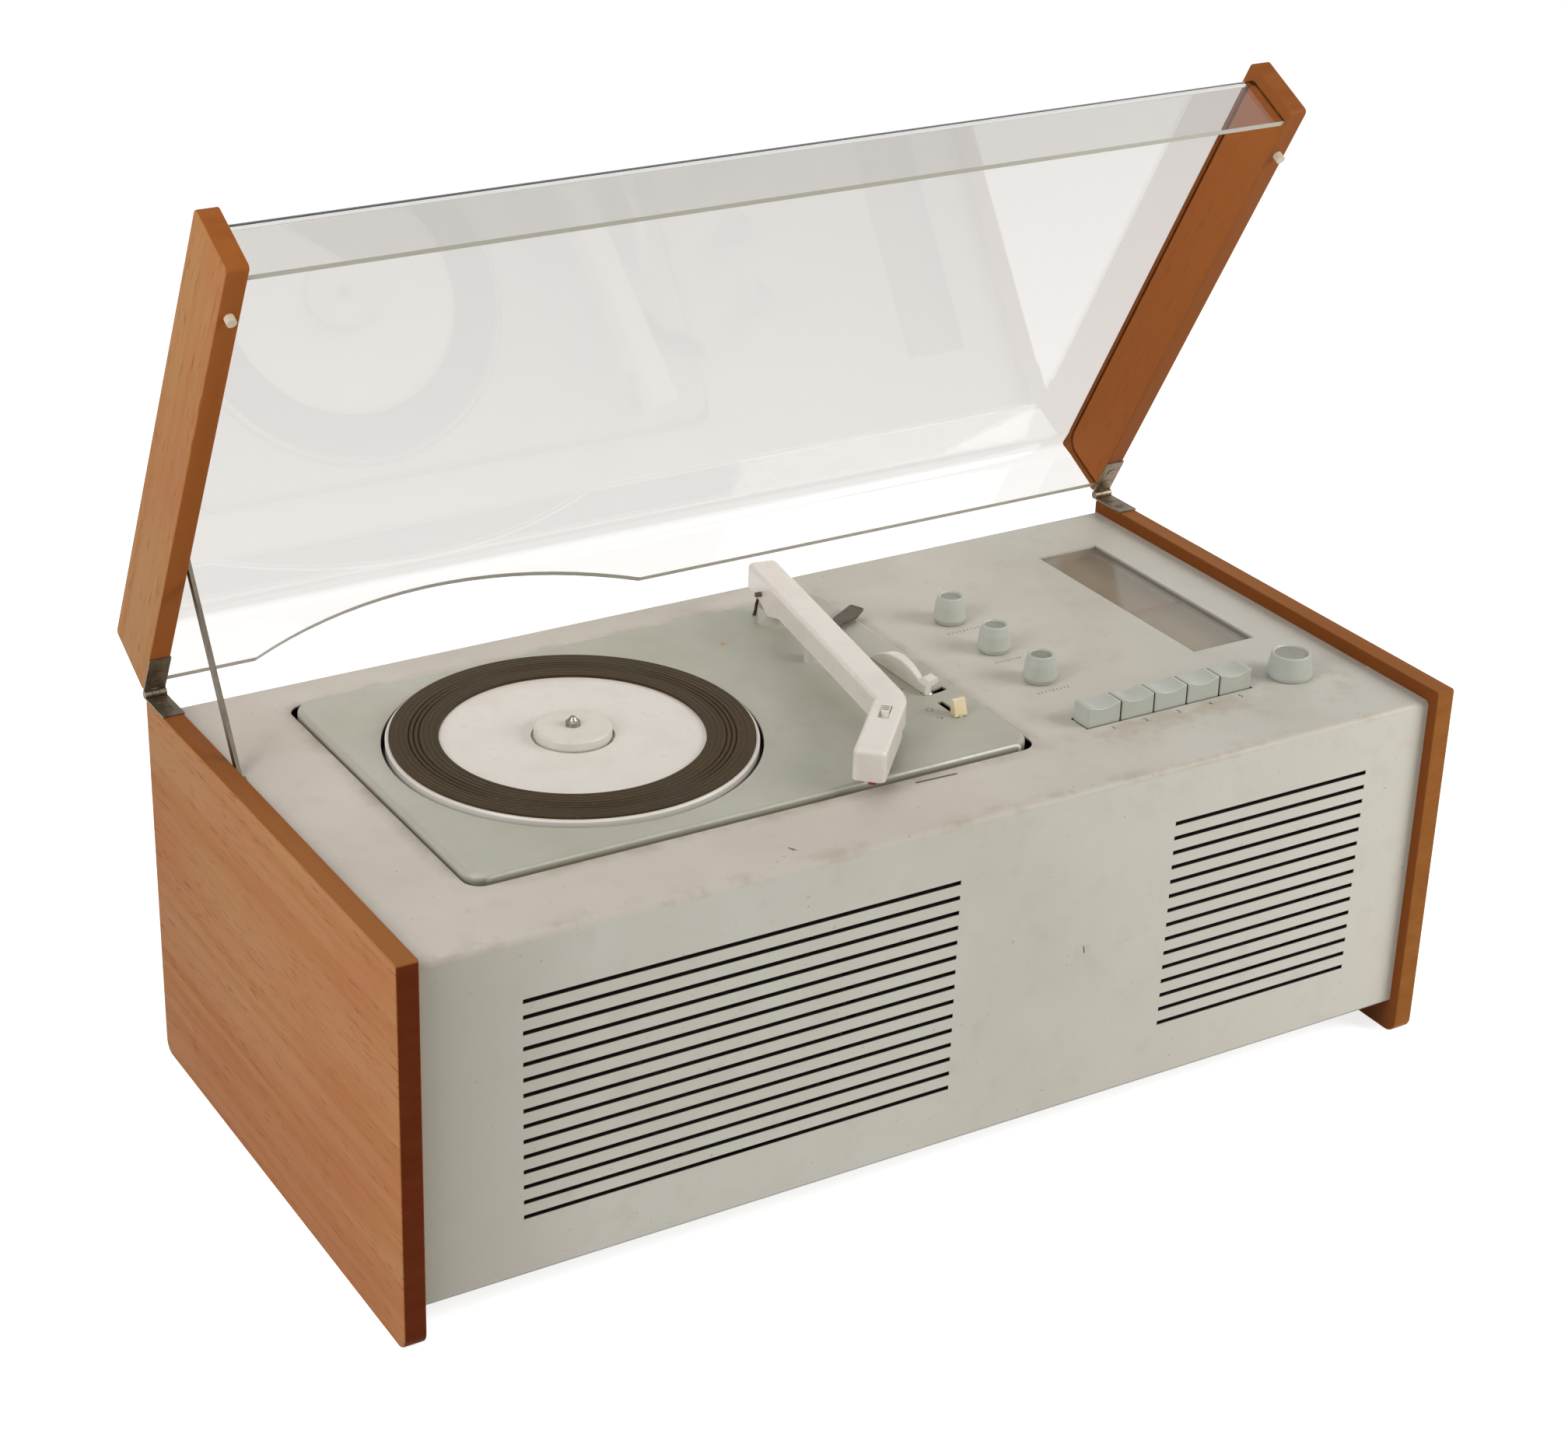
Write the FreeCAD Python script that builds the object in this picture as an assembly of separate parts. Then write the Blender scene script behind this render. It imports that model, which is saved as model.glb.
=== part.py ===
"""Table-top radiogram: a turntable and a radio in one sheet-metal body between two wooden
side panels, under a clear lid that hinges at the rear. Millimetres, +Z up, front towards -Y.
The lid stands open at rest. The pieces are drawn about the middle of the body; on export
they move so that the origin lies on the table under the middle of the whole open part."""
import FreeCAD, Part
import math
import os

V = FreeCAD.Vector
X_AXIS, Y_AXIS, Z_AXIS = V(1, 0, 0), V(0, 1, 0), V(0, 0, 1)
UP, DOWN, BACK = V(0, 0, 1), V(0, 0, -1), V(0, 1, 0)

# Overall sizes
overall_width = 583.0
cabinet_depth = 288.2
panel_height = 199.4
panel_thickness = 11.1
panel_foot_radius = 7.0
panel_top_radius = 1.5
wood_edge_radius = 0.8
cut_over = 1.0
touch_gap = 0.3
running_gap = 0.05
part_gap = 0.5

# Sheet-metal cover: front, top and rear lip in one bent sheet
sheet = 1.5
cover_setback = 5.6
cover_drop = 6.9
cover_ground_gap = 16.6
cover_bend = 3.0
cover_flange = 14.0
cover_rear_lip = 12.0
cover_end_flange = 12.0

# Loudspeaker slots in the cover's front
slot_count = 15
slot_pitch = 8.03
slot_height = 2.3
slot_top = 161.2
left_slots_start_share = -0.81705
left_slots_length_share = 0.81562
right_slots_start_share = 0.44437
right_slots_length_share = 0.42511

# Turntable deck
left_margin_share = 0.48394
right_margin_share = 0.19076
controls_width = 142.3
deck_beside_arm = 41.5
left_clearance = 4.0
right_clearance = 10.4
middle_clearance = 1.1
deck_front = -87.6
deck_behind_arm = 27.2
deck_rise = 3.5
deck_skirt = 7.5
deck_corner = 13.0
deck_edge_radius = 3.0
deck_gap = 1.4
cutout_corner = 9.0
well_radius = 92.2
well_depth = 10.0
bush_radius = 5.0
bush_inset = 13.0
ear_width = 18.0
ear_web_gap = 1.5

# Platter and what sits on it
platter_from_deck = 105.2
platter_y = 17.0
platter_radius = 90.2
platter_rim = 3.0
platter_skirt = 8.0
platter_top_above_deck = 0.6
platter_plate = 3.0
platter_edge_radius = 0.8
disc_step = 1.4
mat_width = 24.0
mat_outer_radius = 88.5
mat_play = 0.1
lip_rise = 1.9
mat_thickness = 2.8
mat_groove_count = 3
mat_groove_width = 0.9
mat_groove_depth = 0.6
mat_groove_pitch = 2.4
recess_radius = 20.3
recess_depth = 2.8
platter_boss_radius = 10.0
platter_boss_depth = 5.2
adapter_radius = 19.05
adapter_height = 8.0
adapter_edge_radius = 1.2
adapter_foot_inset = 0.6
adapter_foot_rise = 0.2
spindle_radius = 3.58
spindle_above_mat = 8.3
spindle_cap_radius = 2.4
bearing_radius = 7.0
bearing_length = 30.0
bearing_flange_radius = 14.0

# Motor drive under the platter
idler_radius = 15.0
idler_thickness = 3.0
idler_hub_radius = 5.0
idler_pin_radius = 2.0
idler_lift = 3.4
idler_bearing_angle = -30.0
drive_gap = 0.25
pulley_radius = 4.0
pulley_angle = 120.0
pulley_height = 5.6
motor_shaft_radius = 2.5
motor_radius = 29.0
motor_length = 46.0
motor_collar = 4.0
motor_collar_radius = 34.0

# Pick-up arm, its base and its rest
arm_pivot_from_deck = 261.9
arm_pivot_y = 89.2
arm_swing_angle = 8.5
arm_slope = 1.3
arm_width = 16.0
arm_depth = 13.0
arm_wall = 2.0
arm_top_above_deck = 26.5
arm_tail = 20.5
arm_straight = 145.0
arm_bend_angle = 34.2
head_length = 59.6
head_depth = 16.0
head_step_start = 5.0
head_step_end = 14.5
arm_corner = 3.0
arm_outer_bend = 24.0
arm_inner_bend = 2.5
arm_edge_radius = 2.2
ear_drop = 4.5
ear_back = 6.0
ear_ahead = 8.5
ear_tip = 2.5
ear_run = 24.0
pin_radius = 1.3
pin_above_deck = 17.0
pin_overhang = 3.2
arm_base_radius = 8.7
arm_base_height = 9.5
arm_base_wall = 2.1
bracket_post_radius = 5.6
bracket_shaft_radius = 3.0
bracket_yoke_length = 6.0
bracket_pin_cover = 3.0
rest_radius = 4.3
rest_along = 50.0
rest_rib_half = 4.0

# Stylus selector in the head
window_along = 17.7
window_length = 13.0
window_width = 4.6
selector_length = 7.0
selector_above = 0.8
selector_tongue = 5.6
cartridge_length = 30.0
cartridge_width = 9.5
cartridge_thickness = 4.0
cartridge_from_front = 5.0
cartridge_pin_radius = 1.2
cartridge_above_opening = 4.4
stylus_length = 3.6
stylus_top_radius = 1.4
stylus_tip_radius = 0.4
stylus_from_front = 7.0

# Small levers on the deck
speed_lever_from_deck = 282.5
speed_lever_rear = 29.0
speed_lever_length = 47.0
speed_lever_width = 6.0
speed_front_width = 3.2
speed_taper_length = 26.0
speed_taper_radius = 12.0
speed_crest_height = 9.8
speed_crest_share = 0.54
speed_front_height = 4.4
speed_edge_radius = 0.8
speed_pin_radius = 2.0
speed_pin_inset = 6.0
speed_tail_length = 4.0
speed_foot_width = 2.6
speed_foot_length = 3.0
speed_foot_depth = 7.5
speed_range = 14.0
speed_fork_radius = 0.5
speed_fork_sink = 2.0
speed_fork_reach = 7.8
speed_fork_height = 8.2
speed_fork_outline_shares = ((0.00, 0.00), (0.42, 0.00), (0.44, 0.50), (1.00, 0.72), (0.94, 1.00),
                             (0.28, 0.86), (0.00, 0.60))
slider_from_deck = 285.2
slider_front = -50.5
slider_width = 7.0
slider_length = 5.0
slider_height = 8.2
slider_top_depth = 2.2
slider_stem_width = 2.2
slider_stem_depth = 8.0
slider_travel = 14.0
slider_edge = 0.4
slot_clearance = 0.6
stop_pivot_from_deck = 275.7
stop_pivot_y = 55.5
stop_pivot_radius = 5.5
stop_pin_radius = 2.0
stop_lever_thickness = 1.2
stop_lever_lift = 2.2
stop_hub_rise = 0.6
stop_lever_reach = 40.0
stop_lever_outline_shares = ((-0.1125, 0.0750), (0.3150, 0.4475), (0.7425, 0.7075),
                             (0.8300, 0.5200), (0.6000, 0.3300), (0.2775, 0.2200), (0.1125, -0.0875))
stop_lever_corner_shares = (0.0750, 0.3500, 0.0250, 0.0375, 0.2500, 0.3000, 0.0750)

# Radio controls on the cover
knob_column_inset = 130.7
knob_rear_y = 54.3
knob_pitch = 40.8
knob_count = 3
knob_foot_radius = 7.4
knob_foot_height = 2.6
knob_base_radius = 8.7
knob_shoulder_radius = 7.9
knob_shoulder_height = 9.5
knob_top_radius = 6.8
knob_height = 14.6
knob_rim = 0.5
knob_dish = 0.8
knob_dish_slope = 0.6
knob_edge_radius = 0.4
knob_lift = 0.4
shaft_radius = 3.0
shaft_seat_depth = 10.0
tuning_inset = 13.5
tuning_y = -81.2
tuning_base_radius = 11.8
tuning_top_radius = 9.9
tuning_height = 12.6
tuning_foot_radius = 11.2
tuning_foot_height = 1.4
tuning_groove = 0.3
bush_thread_radius = 4.6
bush_length = 3.0
pot_radius = 10.5

# Push keys
key_count = 5
key_pitch = 20.4
keys_front = -84.0
key_depth = 12.3
key_slit = 0.4
key_corner_radius = 1.1
key_top_radius = 0.5
key_height = 10.6
key_sink = 5.5
key_scoop_radius = 17.0
key_scoop_depth = 1.9
key_stem_width = 6.0
key_stem_depth = 4.0
key_stem_length = 22.0
switch_height = 20.0
switch_wall = 1.5
switch_below_cover = 13.0
switch_margin = 4.0
stem_play = 0.3

# Tuning dial
dial_width = 39.2
dial_front = -36.3
dial_length = 139.3
glass_thickness = 2.5
glass_lap = 4.0
dial_tray_wall = 1.5
dial_tray_depth = 6.5
scale_thickness = 0.8
pointer_y = 28.6
pointer_width = 1.0
pointer_thickness = 0.8
pointer_below_glass = 2.6
pointer_carriage = 6.0
pointer_slot_height = 3.0

# Hinges and lid stay
hinge_barrel_radius = 2.1
hinge_pin_radius = 1.1
hinge_leaf = 1.0
hinge_leaf_length = 25.0
knuckle_count = 3
hinge_axis_rear = 1.7
lid_gap = 4.2
hinge_screw_first = 7.5
hinge_screw_pitch = 9.0
hinge_screw_head_radius = 2.6
hinge_screw_head_rise = 0.3
hinge_screw_radius = 1.3
hinge_screw_length = 12.0
screw_slot = 0.8
barrel_knuckle_gap = 0.2

# Lid
lid_rear_overhang = 1.0
lid_open_angle = 61.7
cheek_height = 38.5
cheek_corner_radius = 2.5
pane_thickness = 3.0
pane_below_top = 3.0
pane_front_inset = 6.2
pane_rear = 4.0
pane_front_edge = 1.2
pane_rear_edge = 1.0
pane_front_bend = 6.5
pane_rear_bend = 12.0
pane_groove = 3.5
groove_gap = 0.1
notch_width = 217.0
notch_from_deck = 103.8
notch_rise = 22.6
buffer_inset = 29.2
buffer_radius = 2.4
buffer_stud_radius = 1.5
buffer_seat = 5.0

# Stay
stay_along = 86.6
stay_up = 8.0
stay_width = 4.0
stay_thickness = 2.0
stay_side_gap = 0.5
stay_stud_radius = 2.0
stay_stud_depth = 6.0
stay_guide_y = 58.9
stay_guide_drop = 0.6
stay_tail = 9.0
stay_notch_half = 13.0
stay_flange_notch = 14.0
guide_play = 0.4
guide_plate = 1.0
guide_half_length = 9.0
guide_below = 11.0
guide_above = 3.5
guide_pin_radius = 1.5
guide_lean = 15.0
stay_stop_start = 4.0
stay_stop_length = 2.5
stay_stop_half = 6.0

# Base, rear panel and their openings
base_thickness = 1.2
rear_thickness = 2.0
vent_count = 9
vent_pitch = 9.0
vent_width = 3.0
vent_length = 90.0
base_vents_share = -0.43509
base_vents_y = -30.0
rear_vents_share = 0.53495
rear_vents_z = 110.0
rear_vent_length = 70.0
rear_vent_pitch = 11.0
socket_plate_share = -0.21398
socket_plate_z = 60.0
socket_plate_width = 110.0
socket_plate_height = 34.0
socket_plate_thickness = 2.0
socket_count = 4
socket_pitch = 24.0
socket_radius = 7.0
socket_bore = 2.0
socket_depth = 8.0
inlet_share = 0.19615
inlet_width = 30.0
inlet_height = 20.0
inlet_depth = 22.0
inlet_wall = 2.5
inlet_pin_radius = 2.0
inlet_pin_spread = 10.0
inlet_pin_length = 14.0

# Loudspeakers and their board
baffle_thickness = 8.0
baffle_front_gap = 0.5
baffle_side_gap = 5.0
baffle_top_gap = 4.0
left_speaker_share = -0.40906
left_speaker_radius = 70.0
right_speaker_share = 0.65692
right_speaker_radius = 55.0
speaker_z = 103.0
basket_depth_share = 0.55
basket_wall = 2.0
basket_flange = 5.0
magnet_radius_share = 0.42
magnet_height = 16.0
cone_wall = 1.6
cone_dome_share = 0.26

# Radio chassis and what stands on it
chassis_left_inset = 159.0
chassis_end_gap = 18.4
chassis_front = -45.0
chassis_rear = 128.0
chassis_height = 38.0
chassis_sheet = 1.5
valve_radius = 10.5
valve_height = 58.0
valve_base_height = 9.0
valve_tip_radius = 3.0
valve_columns = 3
valve_pitch = 30.0
valve_row_y = 100.0
can_width = 19.0
can_height = 42.0
can_columns = 3
can_pitch = 32.0
can_row_y = 55.0
transformer_inset = 26.0
transformer_y = 10.0
transformer_width = 58.0
transformer_depth = 46.0
transformer_height = 62.0
coil_overhang = 8.0
tuner_inset = 126.0
tuner_y = -5.0
tuner_width = 44.0
tuner_depth = 50.0
tuner_height = 40.0
tuner_drum_radius = 24.0
tuner_drum_thickness = 4.0

# Screws that hold the cover and the base to the side panels
panel_screw_radius = 1.8
panel_screw_head_radius = 3.4
panel_screw_head = 2.0
panel_screw_length = 9.0
panel_screw_heights_share = (0.3, 0.7)
panel_screw_depths_share = (0.25, 0.75)

# Places worked out from the sizes above
half_width = overall_width / 2
inner_x = half_width - panel_thickness
deck_width = arm_pivot_from_deck + deck_beside_arm
clearances = left_clearance + middle_clearance + right_clearance
free_width = inner_x * 2 - deck_width - controls_width - clearances
deck_left = left_clearance + free_width * left_margin_share - inner_x
controls_right = inner_x - right_clearance - free_width * right_margin_share
platter_x = deck_left + platter_from_deck
arm_pivot_x = deck_left + arm_pivot_from_deck
speed_lever_x = deck_left + speed_lever_from_deck
slider_x = deck_left + slider_from_deck
stop_pivot_x = deck_left + stop_pivot_from_deck
notch_x = deck_left + notch_from_deck
knob_column_x = controls_right - knob_column_inset
tuning_x = controls_right - tuning_inset
chassis_left = controls_right - chassis_left_inset
transformer_x = controls_right - transformer_inset
tuner_x = controls_right - tuner_inset
chassis_right = inner_x - chassis_end_gap
dial_left = controls_right - dial_width
keys_left = controls_right - controls_width
left_slots_start = inner_x * left_slots_start_share
right_slots_start = inner_x * right_slots_start_share
left_slots_length = inner_x * left_slots_length_share
right_slots_length = inner_x * right_slots_length_share
left_speaker_x = inner_x * left_speaker_share
right_speaker_x = inner_x * right_speaker_share
base_vents_x = inner_x * base_vents_share
rear_vents_x = inner_x * rear_vents_share
socket_plate_x = inner_x * socket_plate_share
inlet_x = inner_x * inlet_share
panel_front = -cabinet_depth / 2
panel_rear = cabinet_depth / 2
cover_front = panel_front + cover_setback
cover_top = panel_height - cover_drop
cover_under = cover_top - sheet
stay_guide_z = cover_top - stay_guide_drop
deck_top = cover_top + deck_rise
deck_under = deck_top - sheet
deck_right = deck_left + deck_width
deck_rear = arm_pivot_y + deck_behind_arm
well_floor = deck_top - well_depth
well_under = well_floor - sheet
rim_top = deck_top + platter_top_above_deck
mat_top = rim_top + mat_thickness
disc_top = rim_top + disc_step
platter_under = rim_top - platter_plate
recess_floor = disc_top - recess_depth
spindle_top = mat_top + spindle_above_mat
hinge_y = panel_rear + hinge_axis_rear
hinge_z = panel_height + lid_gap / 2
lid_depth = cabinet_depth
pane_front = lid_depth - pane_front_inset
buffer_along = lid_depth - buffer_inset
lid_rear = panel_rear + lid_rear_overhang
lid_base = panel_height + lid_gap
mat_inner_radius = mat_outer_radius - mat_width
centre = V(platter_x, platter_y, 0)


def block(x0, x1, y0, y1, z0, z1):
    """Box between two corners."""
    return Part.makeBox(x1 - x0, y1 - y0, z1 - z0, V(x0, y0, z0))


def rod(radius, start, end):
    """Cylinder from one point to another."""
    axis = end - start
    return Part.makeCylinder(radius, axis.Length, start, axis)


def post(radius, x, y, z0, z1):
    """Upright cylinder."""
    return rod(radius, V(x, y, z0), V(x, y, z1))


def rounded_face(points, radii):
    """Face inside a closed outline, each corner rounded to its own radius."""
    starts, middles, ends = [], [], []
    for i, corner in enumerate(points):
        back = (points[i - 1] - corner).normalize()
        ahead = (points[(i + 1) % len(points)] - corner).normalize()
        half = back.getAngle(ahead) / 2
        reach = radii[i] / math.tan(half)
        inward = (back + ahead).normalize() if radii[i] else V(0, 0, 0)
        middle_distance = radii[i] / math.sin(half) - radii[i]
        starts.append(corner + back * reach)
        middles.append(corner + inward * middle_distance)
        ends.append(corner + ahead * reach)
    edges = []
    for i in range(len(points)):
        following = (i + 1) % len(points)
        if radii[i]:
            edges.append(Part.Arc(starts[i], middles[i], ends[i]).toShape())
        edges.append(Part.makeLine(ends[i], starts[following]))
    return Part.Face(Part.Wire(edges))


def prism(points, radii, travel):
    """Solid swept straight from a rounded outline."""
    return rounded_face(points, radii).extrude(travel)


def plate(x0, x1, y0, y1, z0, z1, radius):
    """Flat plate with upright rounded corners."""
    corners = [V(x0, y0, z0), V(x1, y0, z0), V(x1, y1, z0), V(x0, y1, z0)]
    return prism(corners, [radius] * len(corners), V(0, 0, z1 - z0))


def bent_outline(path, bends, thickness):
    """Closed outline of a bent sheet from the outer face's corners; the sheet lies on their left."""
    inner = []
    for i, corner in enumerate(path):
        normals = []
        for a, b in ((i - 1, i), (i, i + 1)):
            if a >= 0 and b < len(path):
                along = (path[b] - path[a]).normalize()
                normals.append(V(-along.y, along.x, 0))
        total = normals[0] + normals[-1]
        inner.append(corner + total * (thickness / (1 + normals[0].dot(normals[-1]))))
    radii = list(bends) + [max(bend - thickness, 0) for bend in reversed(bends)]
    return path + inner[::-1], radii


def turned(profile, x, y):
    """Solid of revolution about the upright line through x, y, from (radius, height) pairs."""
    points = [V(r, 0, z) for r, z in profile]
    face = Part.Face(Part.makePolygon(points + points[:1]))
    solid = face.revolve(V(0, 0, 0), Z_AXIS, math.degrees(math.tau))
    solid.translate(V(x, y, 0))
    return solid


def fillet_where(shape, radius, chosen):
    """Round the edges that a test picks."""
    edges = [edge for edge in shape.Edges if chosen(edge)]
    return shape.makeFillet(radius, edges)


def edge_at_height(height):
    """Test for edges that lie wholly at one height."""
    def chosen(edge):
        box = edge.BoundBox
        return abs(box.ZMin - height) < running_gap and abs(box.ZMax - height) < running_gap
    return chosen


def edge_at_side(across):
    """Test for edges that lie wholly at one distance across."""
    def chosen(edge):
        box = edge.BoundBox
        return abs(box.XMin - across) < running_gap and abs(box.XMax - across) < running_gap
    return chosen


def softened(board, x0, x1):
    """Board with the edges of its two side faces rounded."""
    for x in (x0, x1):
        board = fillet_where(board, wood_edge_radius, edge_at_side(x))
    return board


def mirrored(shape):
    """The same piece on the other side of the middle plane."""
    return shape.mirror(V(0, 0, 0), X_AXIS)


def opened(shape):
    """Turn a piece drawn with the lid shut to where it stands with the lid open."""
    result = shape.copy()
    result.rotate(V(0, hinge_y, hinge_z), X_AXIS, -lid_open_angle)
    return result


def lid_point(along, up):
    """Point of the shut lid: along runs forward from the lid's rear edge, up from its lower face."""
    return V(0, lid_rear - along, lid_base + up)


def fuse_all(shapes):
    """One solid of several that share faces or overlap."""
    result = shapes[0].multiFuse(shapes[1:]) if len(shapes) > 1 else shapes[0]
    return result.removeSplitter()


# Cabinet

def side_panel():
    """Left wooden side panel with rounded lower corners and bores for the screws."""
    x0 = -half_width
    corners = [V(x0, panel_front, 0), V(x0, panel_rear, 0),
               V(x0, panel_rear, panel_height), V(x0, panel_front, panel_height)]
    radii = [panel_foot_radius, panel_foot_radius, panel_top_radius, panel_top_radius]
    panel = softened(prism(corners, radii, V(panel_thickness, 0, 0)), x0, x0 + panel_thickness)
    for y, z in panel_screw_places():
        panel = panel.cut(rod(panel_screw_radius, V(-inner_x - panel_screw_length, y, z),
                              V(-inner_x + cut_over, y, z)))
    for x, y in lower_hinge_screw_places():
        panel = panel.cut(post(hinge_screw_radius, x, y, panel_height - hinge_screw_length,
                               panel_height + cut_over))
    return panel


def panel_screw_places():
    """Screws through the cover's front flange and through the base's end flange."""
    tall = cover_under - cover_ground_gap
    long = panel_rear - cover_front
    y_front = cover_front + sheet + (cover_end_flange - sheet) / 2
    z_base = cover_ground_gap + sheet + base_thickness + cover_end_flange / 2
    front = [(y_front, cover_ground_gap + share * tall) for share in panel_screw_heights_share]
    base = [(cover_front + share * long, z_base) for share in panel_screw_depths_share]
    return front + base


def panel_screws():
    """Screws that hold cover and base to the wooden panels, heads inside."""
    screws = []
    for y, z in panel_screw_places():
        flange_face = -inner_x + sheet
        shank = rod(panel_screw_radius - running_gap, V(-inner_x - panel_screw_length, y, z),
                    V(flange_face, y, z))
        head = rod(panel_screw_head_radius, V(flange_face, y, z),
                   V(flange_face + panel_screw_head, y, z))
        screws.append(shank.fuse(head))
    return Part.makeCompound(screws + [mirrored(screw) for screw in screws])


def cover_slots():
    """Cutters for the two groups of slots in the cover's front."""
    cutters = []
    groups = ((left_slots_start, left_slots_length), (right_slots_start, right_slots_length))
    for start, length in groups:
        for row in range(slot_count):
            z = slot_top - row * slot_pitch
            cutters.append(block(start, start + length, cover_front - cut_over,
                                 cover_front + sheet + cut_over,
                                 z - slot_height / 2, z + slot_height / 2))
    return cutters


def cutout_edges():
    """Left, right, front and rear of the opening that the deck sits in."""
    return (deck_left - deck_gap, deck_right + deck_gap, deck_front - deck_gap, deck_rear + deck_gap)


def deck_ear(corner_x, corner_y, side_x):
    """Bent ear under the cover that carries one rubber bush of the deck."""
    bush_x = corner_x - side_x * bush_inset
    outer_x = corner_x + side_x * (deck_gap + ear_web_gap)
    ear_top = deck_under - bush_height()
    shelf_x = sorted((bush_x - side_x * bush_radius, outer_x + side_x * sheet))
    web_x = sorted((outer_x, outer_x + side_x * sheet))
    y0, y1 = corner_y - ear_width / 2, corner_y + ear_width / 2
    shelf = block(shelf_x[0], shelf_x[1], y0, y1, ear_top - sheet, ear_top)
    web = block(web_x[0], web_x[1], y0, y1, ear_top - sheet, cover_under + sheet / 2)
    return shelf.fuse(web)


def bush_height():
    """Free height between an ear and the deck's underside."""
    return deck_skirt + deck_edge_radius / 2


def bush_places():
    """Corner x, bush y and outward direction for the four bushes."""
    rows = (deck_front + bush_inset, deck_rear - bush_inset)
    return [(deck_left, y, -1) for y in rows] + [(deck_right, y, 1) for y in rows]


def cover():
    """Front, top, rear lip and end flanges of the body, with every opening of the controls."""
    path = [V(cover_front + cover_flange, cover_ground_gap, 0), V(cover_front, cover_ground_gap, 0),
            V(cover_front, cover_top, 0), V(panel_rear, cover_top, 0),
            V(panel_rear, cover_top - cover_rear_lip, 0)]
    bends = [0, cover_bend, cover_bend, cover_bend, 0]
    outline, radii = bent_outline(path[::-1], bends, sheet)
    points = [V(-inner_x, p.x, p.y) for p in outline]
    shell = prism(points, radii, V(2 * inner_x, 0, 0))
    flanges = []
    for x0 in (-inner_x, inner_x - sheet):
        flanges.append(block(x0, x0 + sheet, cover_front + sheet / 2, cover_front + cover_end_flange,
                             cover_ground_gap + cover_bend, cover_under - cover_bend))
        flanges.append(block(x0, x0 + sheet, cover_front + cover_end_flange + cut_over,
                             rear_panel_faces()[0] - touch_gap, cover_top - cover_end_flange,
                             cover_under + sheet / 2))
    ears = [deck_ear(x, y, side) for x, y, side in bush_places()]
    body = fuse_all([shell] + flanges + ears)
    left, right, front, rear = cutout_edges()
    cutters = cover_slots()
    cutters.append(plate(left, right, front, rear, cover_under - sheet / 2, cover_top + cut_over,
                         cutout_corner))
    cutters.append(block(dial_left, dial_left + dial_width, dial_front, dial_front + dial_length,
                         cover_under - cut_over, cover_top + cut_over))
    cutters.append(block(keys_left - part_gap, keys_left + key_count * key_pitch + part_gap,
                         keys_front - part_gap, keys_front + key_depth + part_gap,
                         cover_under - cut_over, cover_top + cut_over))
    for x, y in knob_places() + [(tuning_x, tuning_y)]:
        cutters.append(post(bush_thread_radius, x, y, cover_under - cut_over, cover_top + cut_over))
    notch_inner = -inner_x + guide_plate + stay_side_gap + stay_thickness + part_gap * 2
    cutters.append(block(-inner_x - cut_over, notch_inner, stay_guide_y - stay_notch_half,
                         stay_guide_y + stay_notch_half, cover_top - stay_flange_notch,
                         cover_top + cut_over))
    for y, z in panel_screw_places():
        for end in (-inner_x, inner_x):
            cutters.append(rod(panel_screw_radius, V(end - sheet - cut_over, y, z),
                               V(end + sheet + cut_over, y, z)))
    return body.cut(cutters)


def base_plate():
    """Bottom sheet with end flanges and a field of vent slots under the turntable."""
    z0 = cover_ground_gap + sheet
    z1 = z0 + base_thickness
    y0, y1 = cover_front + cover_bend + touch_gap, rear_panel_faces()[0] - touch_gap
    parts = [block(-inner_x, inner_x, y0, y1, z0, z1)]
    for x0 in (-inner_x, inner_x - sheet):
        parts.append(block(x0, x0 + sheet, cover_front + cover_end_flange + cut_over, y1, z0,
                           z1 + cover_end_flange))
    plate_body = fuse_all(parts)
    cutters = []
    for row in range(vent_count):
        y = base_vents_y + (row - (vent_count - 1) / 2) * vent_pitch
        cutters.append(plate(base_vents_x - vent_length / 2, base_vents_x + vent_length / 2,
                             y - vent_width / 2, y + vent_width / 2, z0 - cut_over,
                             z1 + cut_over, vent_width / 2 - running_gap))
    for y, z in panel_screw_places():
        for end in (-inner_x, inner_x):
            cutters.append(rod(panel_screw_radius, V(end - sheet - cut_over, y, z),
                               V(end + sheet + cut_over, y, z)))
    return plate_body.cut(cutters)


def rear_panel_faces():
    """Front and rear faces of the rear panel, which lies inside the cover's rear lip."""
    return panel_rear - sheet - rear_thickness, panel_rear - sheet


def rear_panel():
    """Rear panel with upright vent slots and cut-outs for the sockets and the inlet."""
    y0, y1 = rear_panel_faces()
    board = block(-inner_x + touch_gap, inner_x - touch_gap, y0, y1, cover_ground_gap + touch_gap,
                  cover_top - cover_bend - touch_gap)
    through = (y0 - cut_over, y1 + cut_over)
    cutters = []
    for row in range(vent_count):
        x = rear_vents_x + (row - (vent_count - 1) / 2) * rear_vent_pitch
        cutters.append(block(x - vent_width / 2, x + vent_width / 2, *through,
                             rear_vents_z - rear_vent_length / 2,
                             rear_vents_z + rear_vent_length / 2))
    for x in socket_places():
        cutters.append(rod(socket_radius + running_gap, V(x, through[0], socket_plate_z),
                           V(x, through[1], socket_plate_z)))
    cutters.append(block(inlet_x - inlet_width / 2 - running_gap,
                         inlet_x + inlet_width / 2 + running_gap, *through,
                         socket_plate_z - inlet_height / 2 - running_gap,
                         socket_plate_z + inlet_height / 2 + running_gap))
    return board.cut(cutters)


def socket_places():
    """Centres of the round sockets along the rear."""
    first = socket_plate_x - (socket_count - 1) / 2 * socket_pitch
    return [first + i * socket_pitch for i in range(socket_count)]


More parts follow.
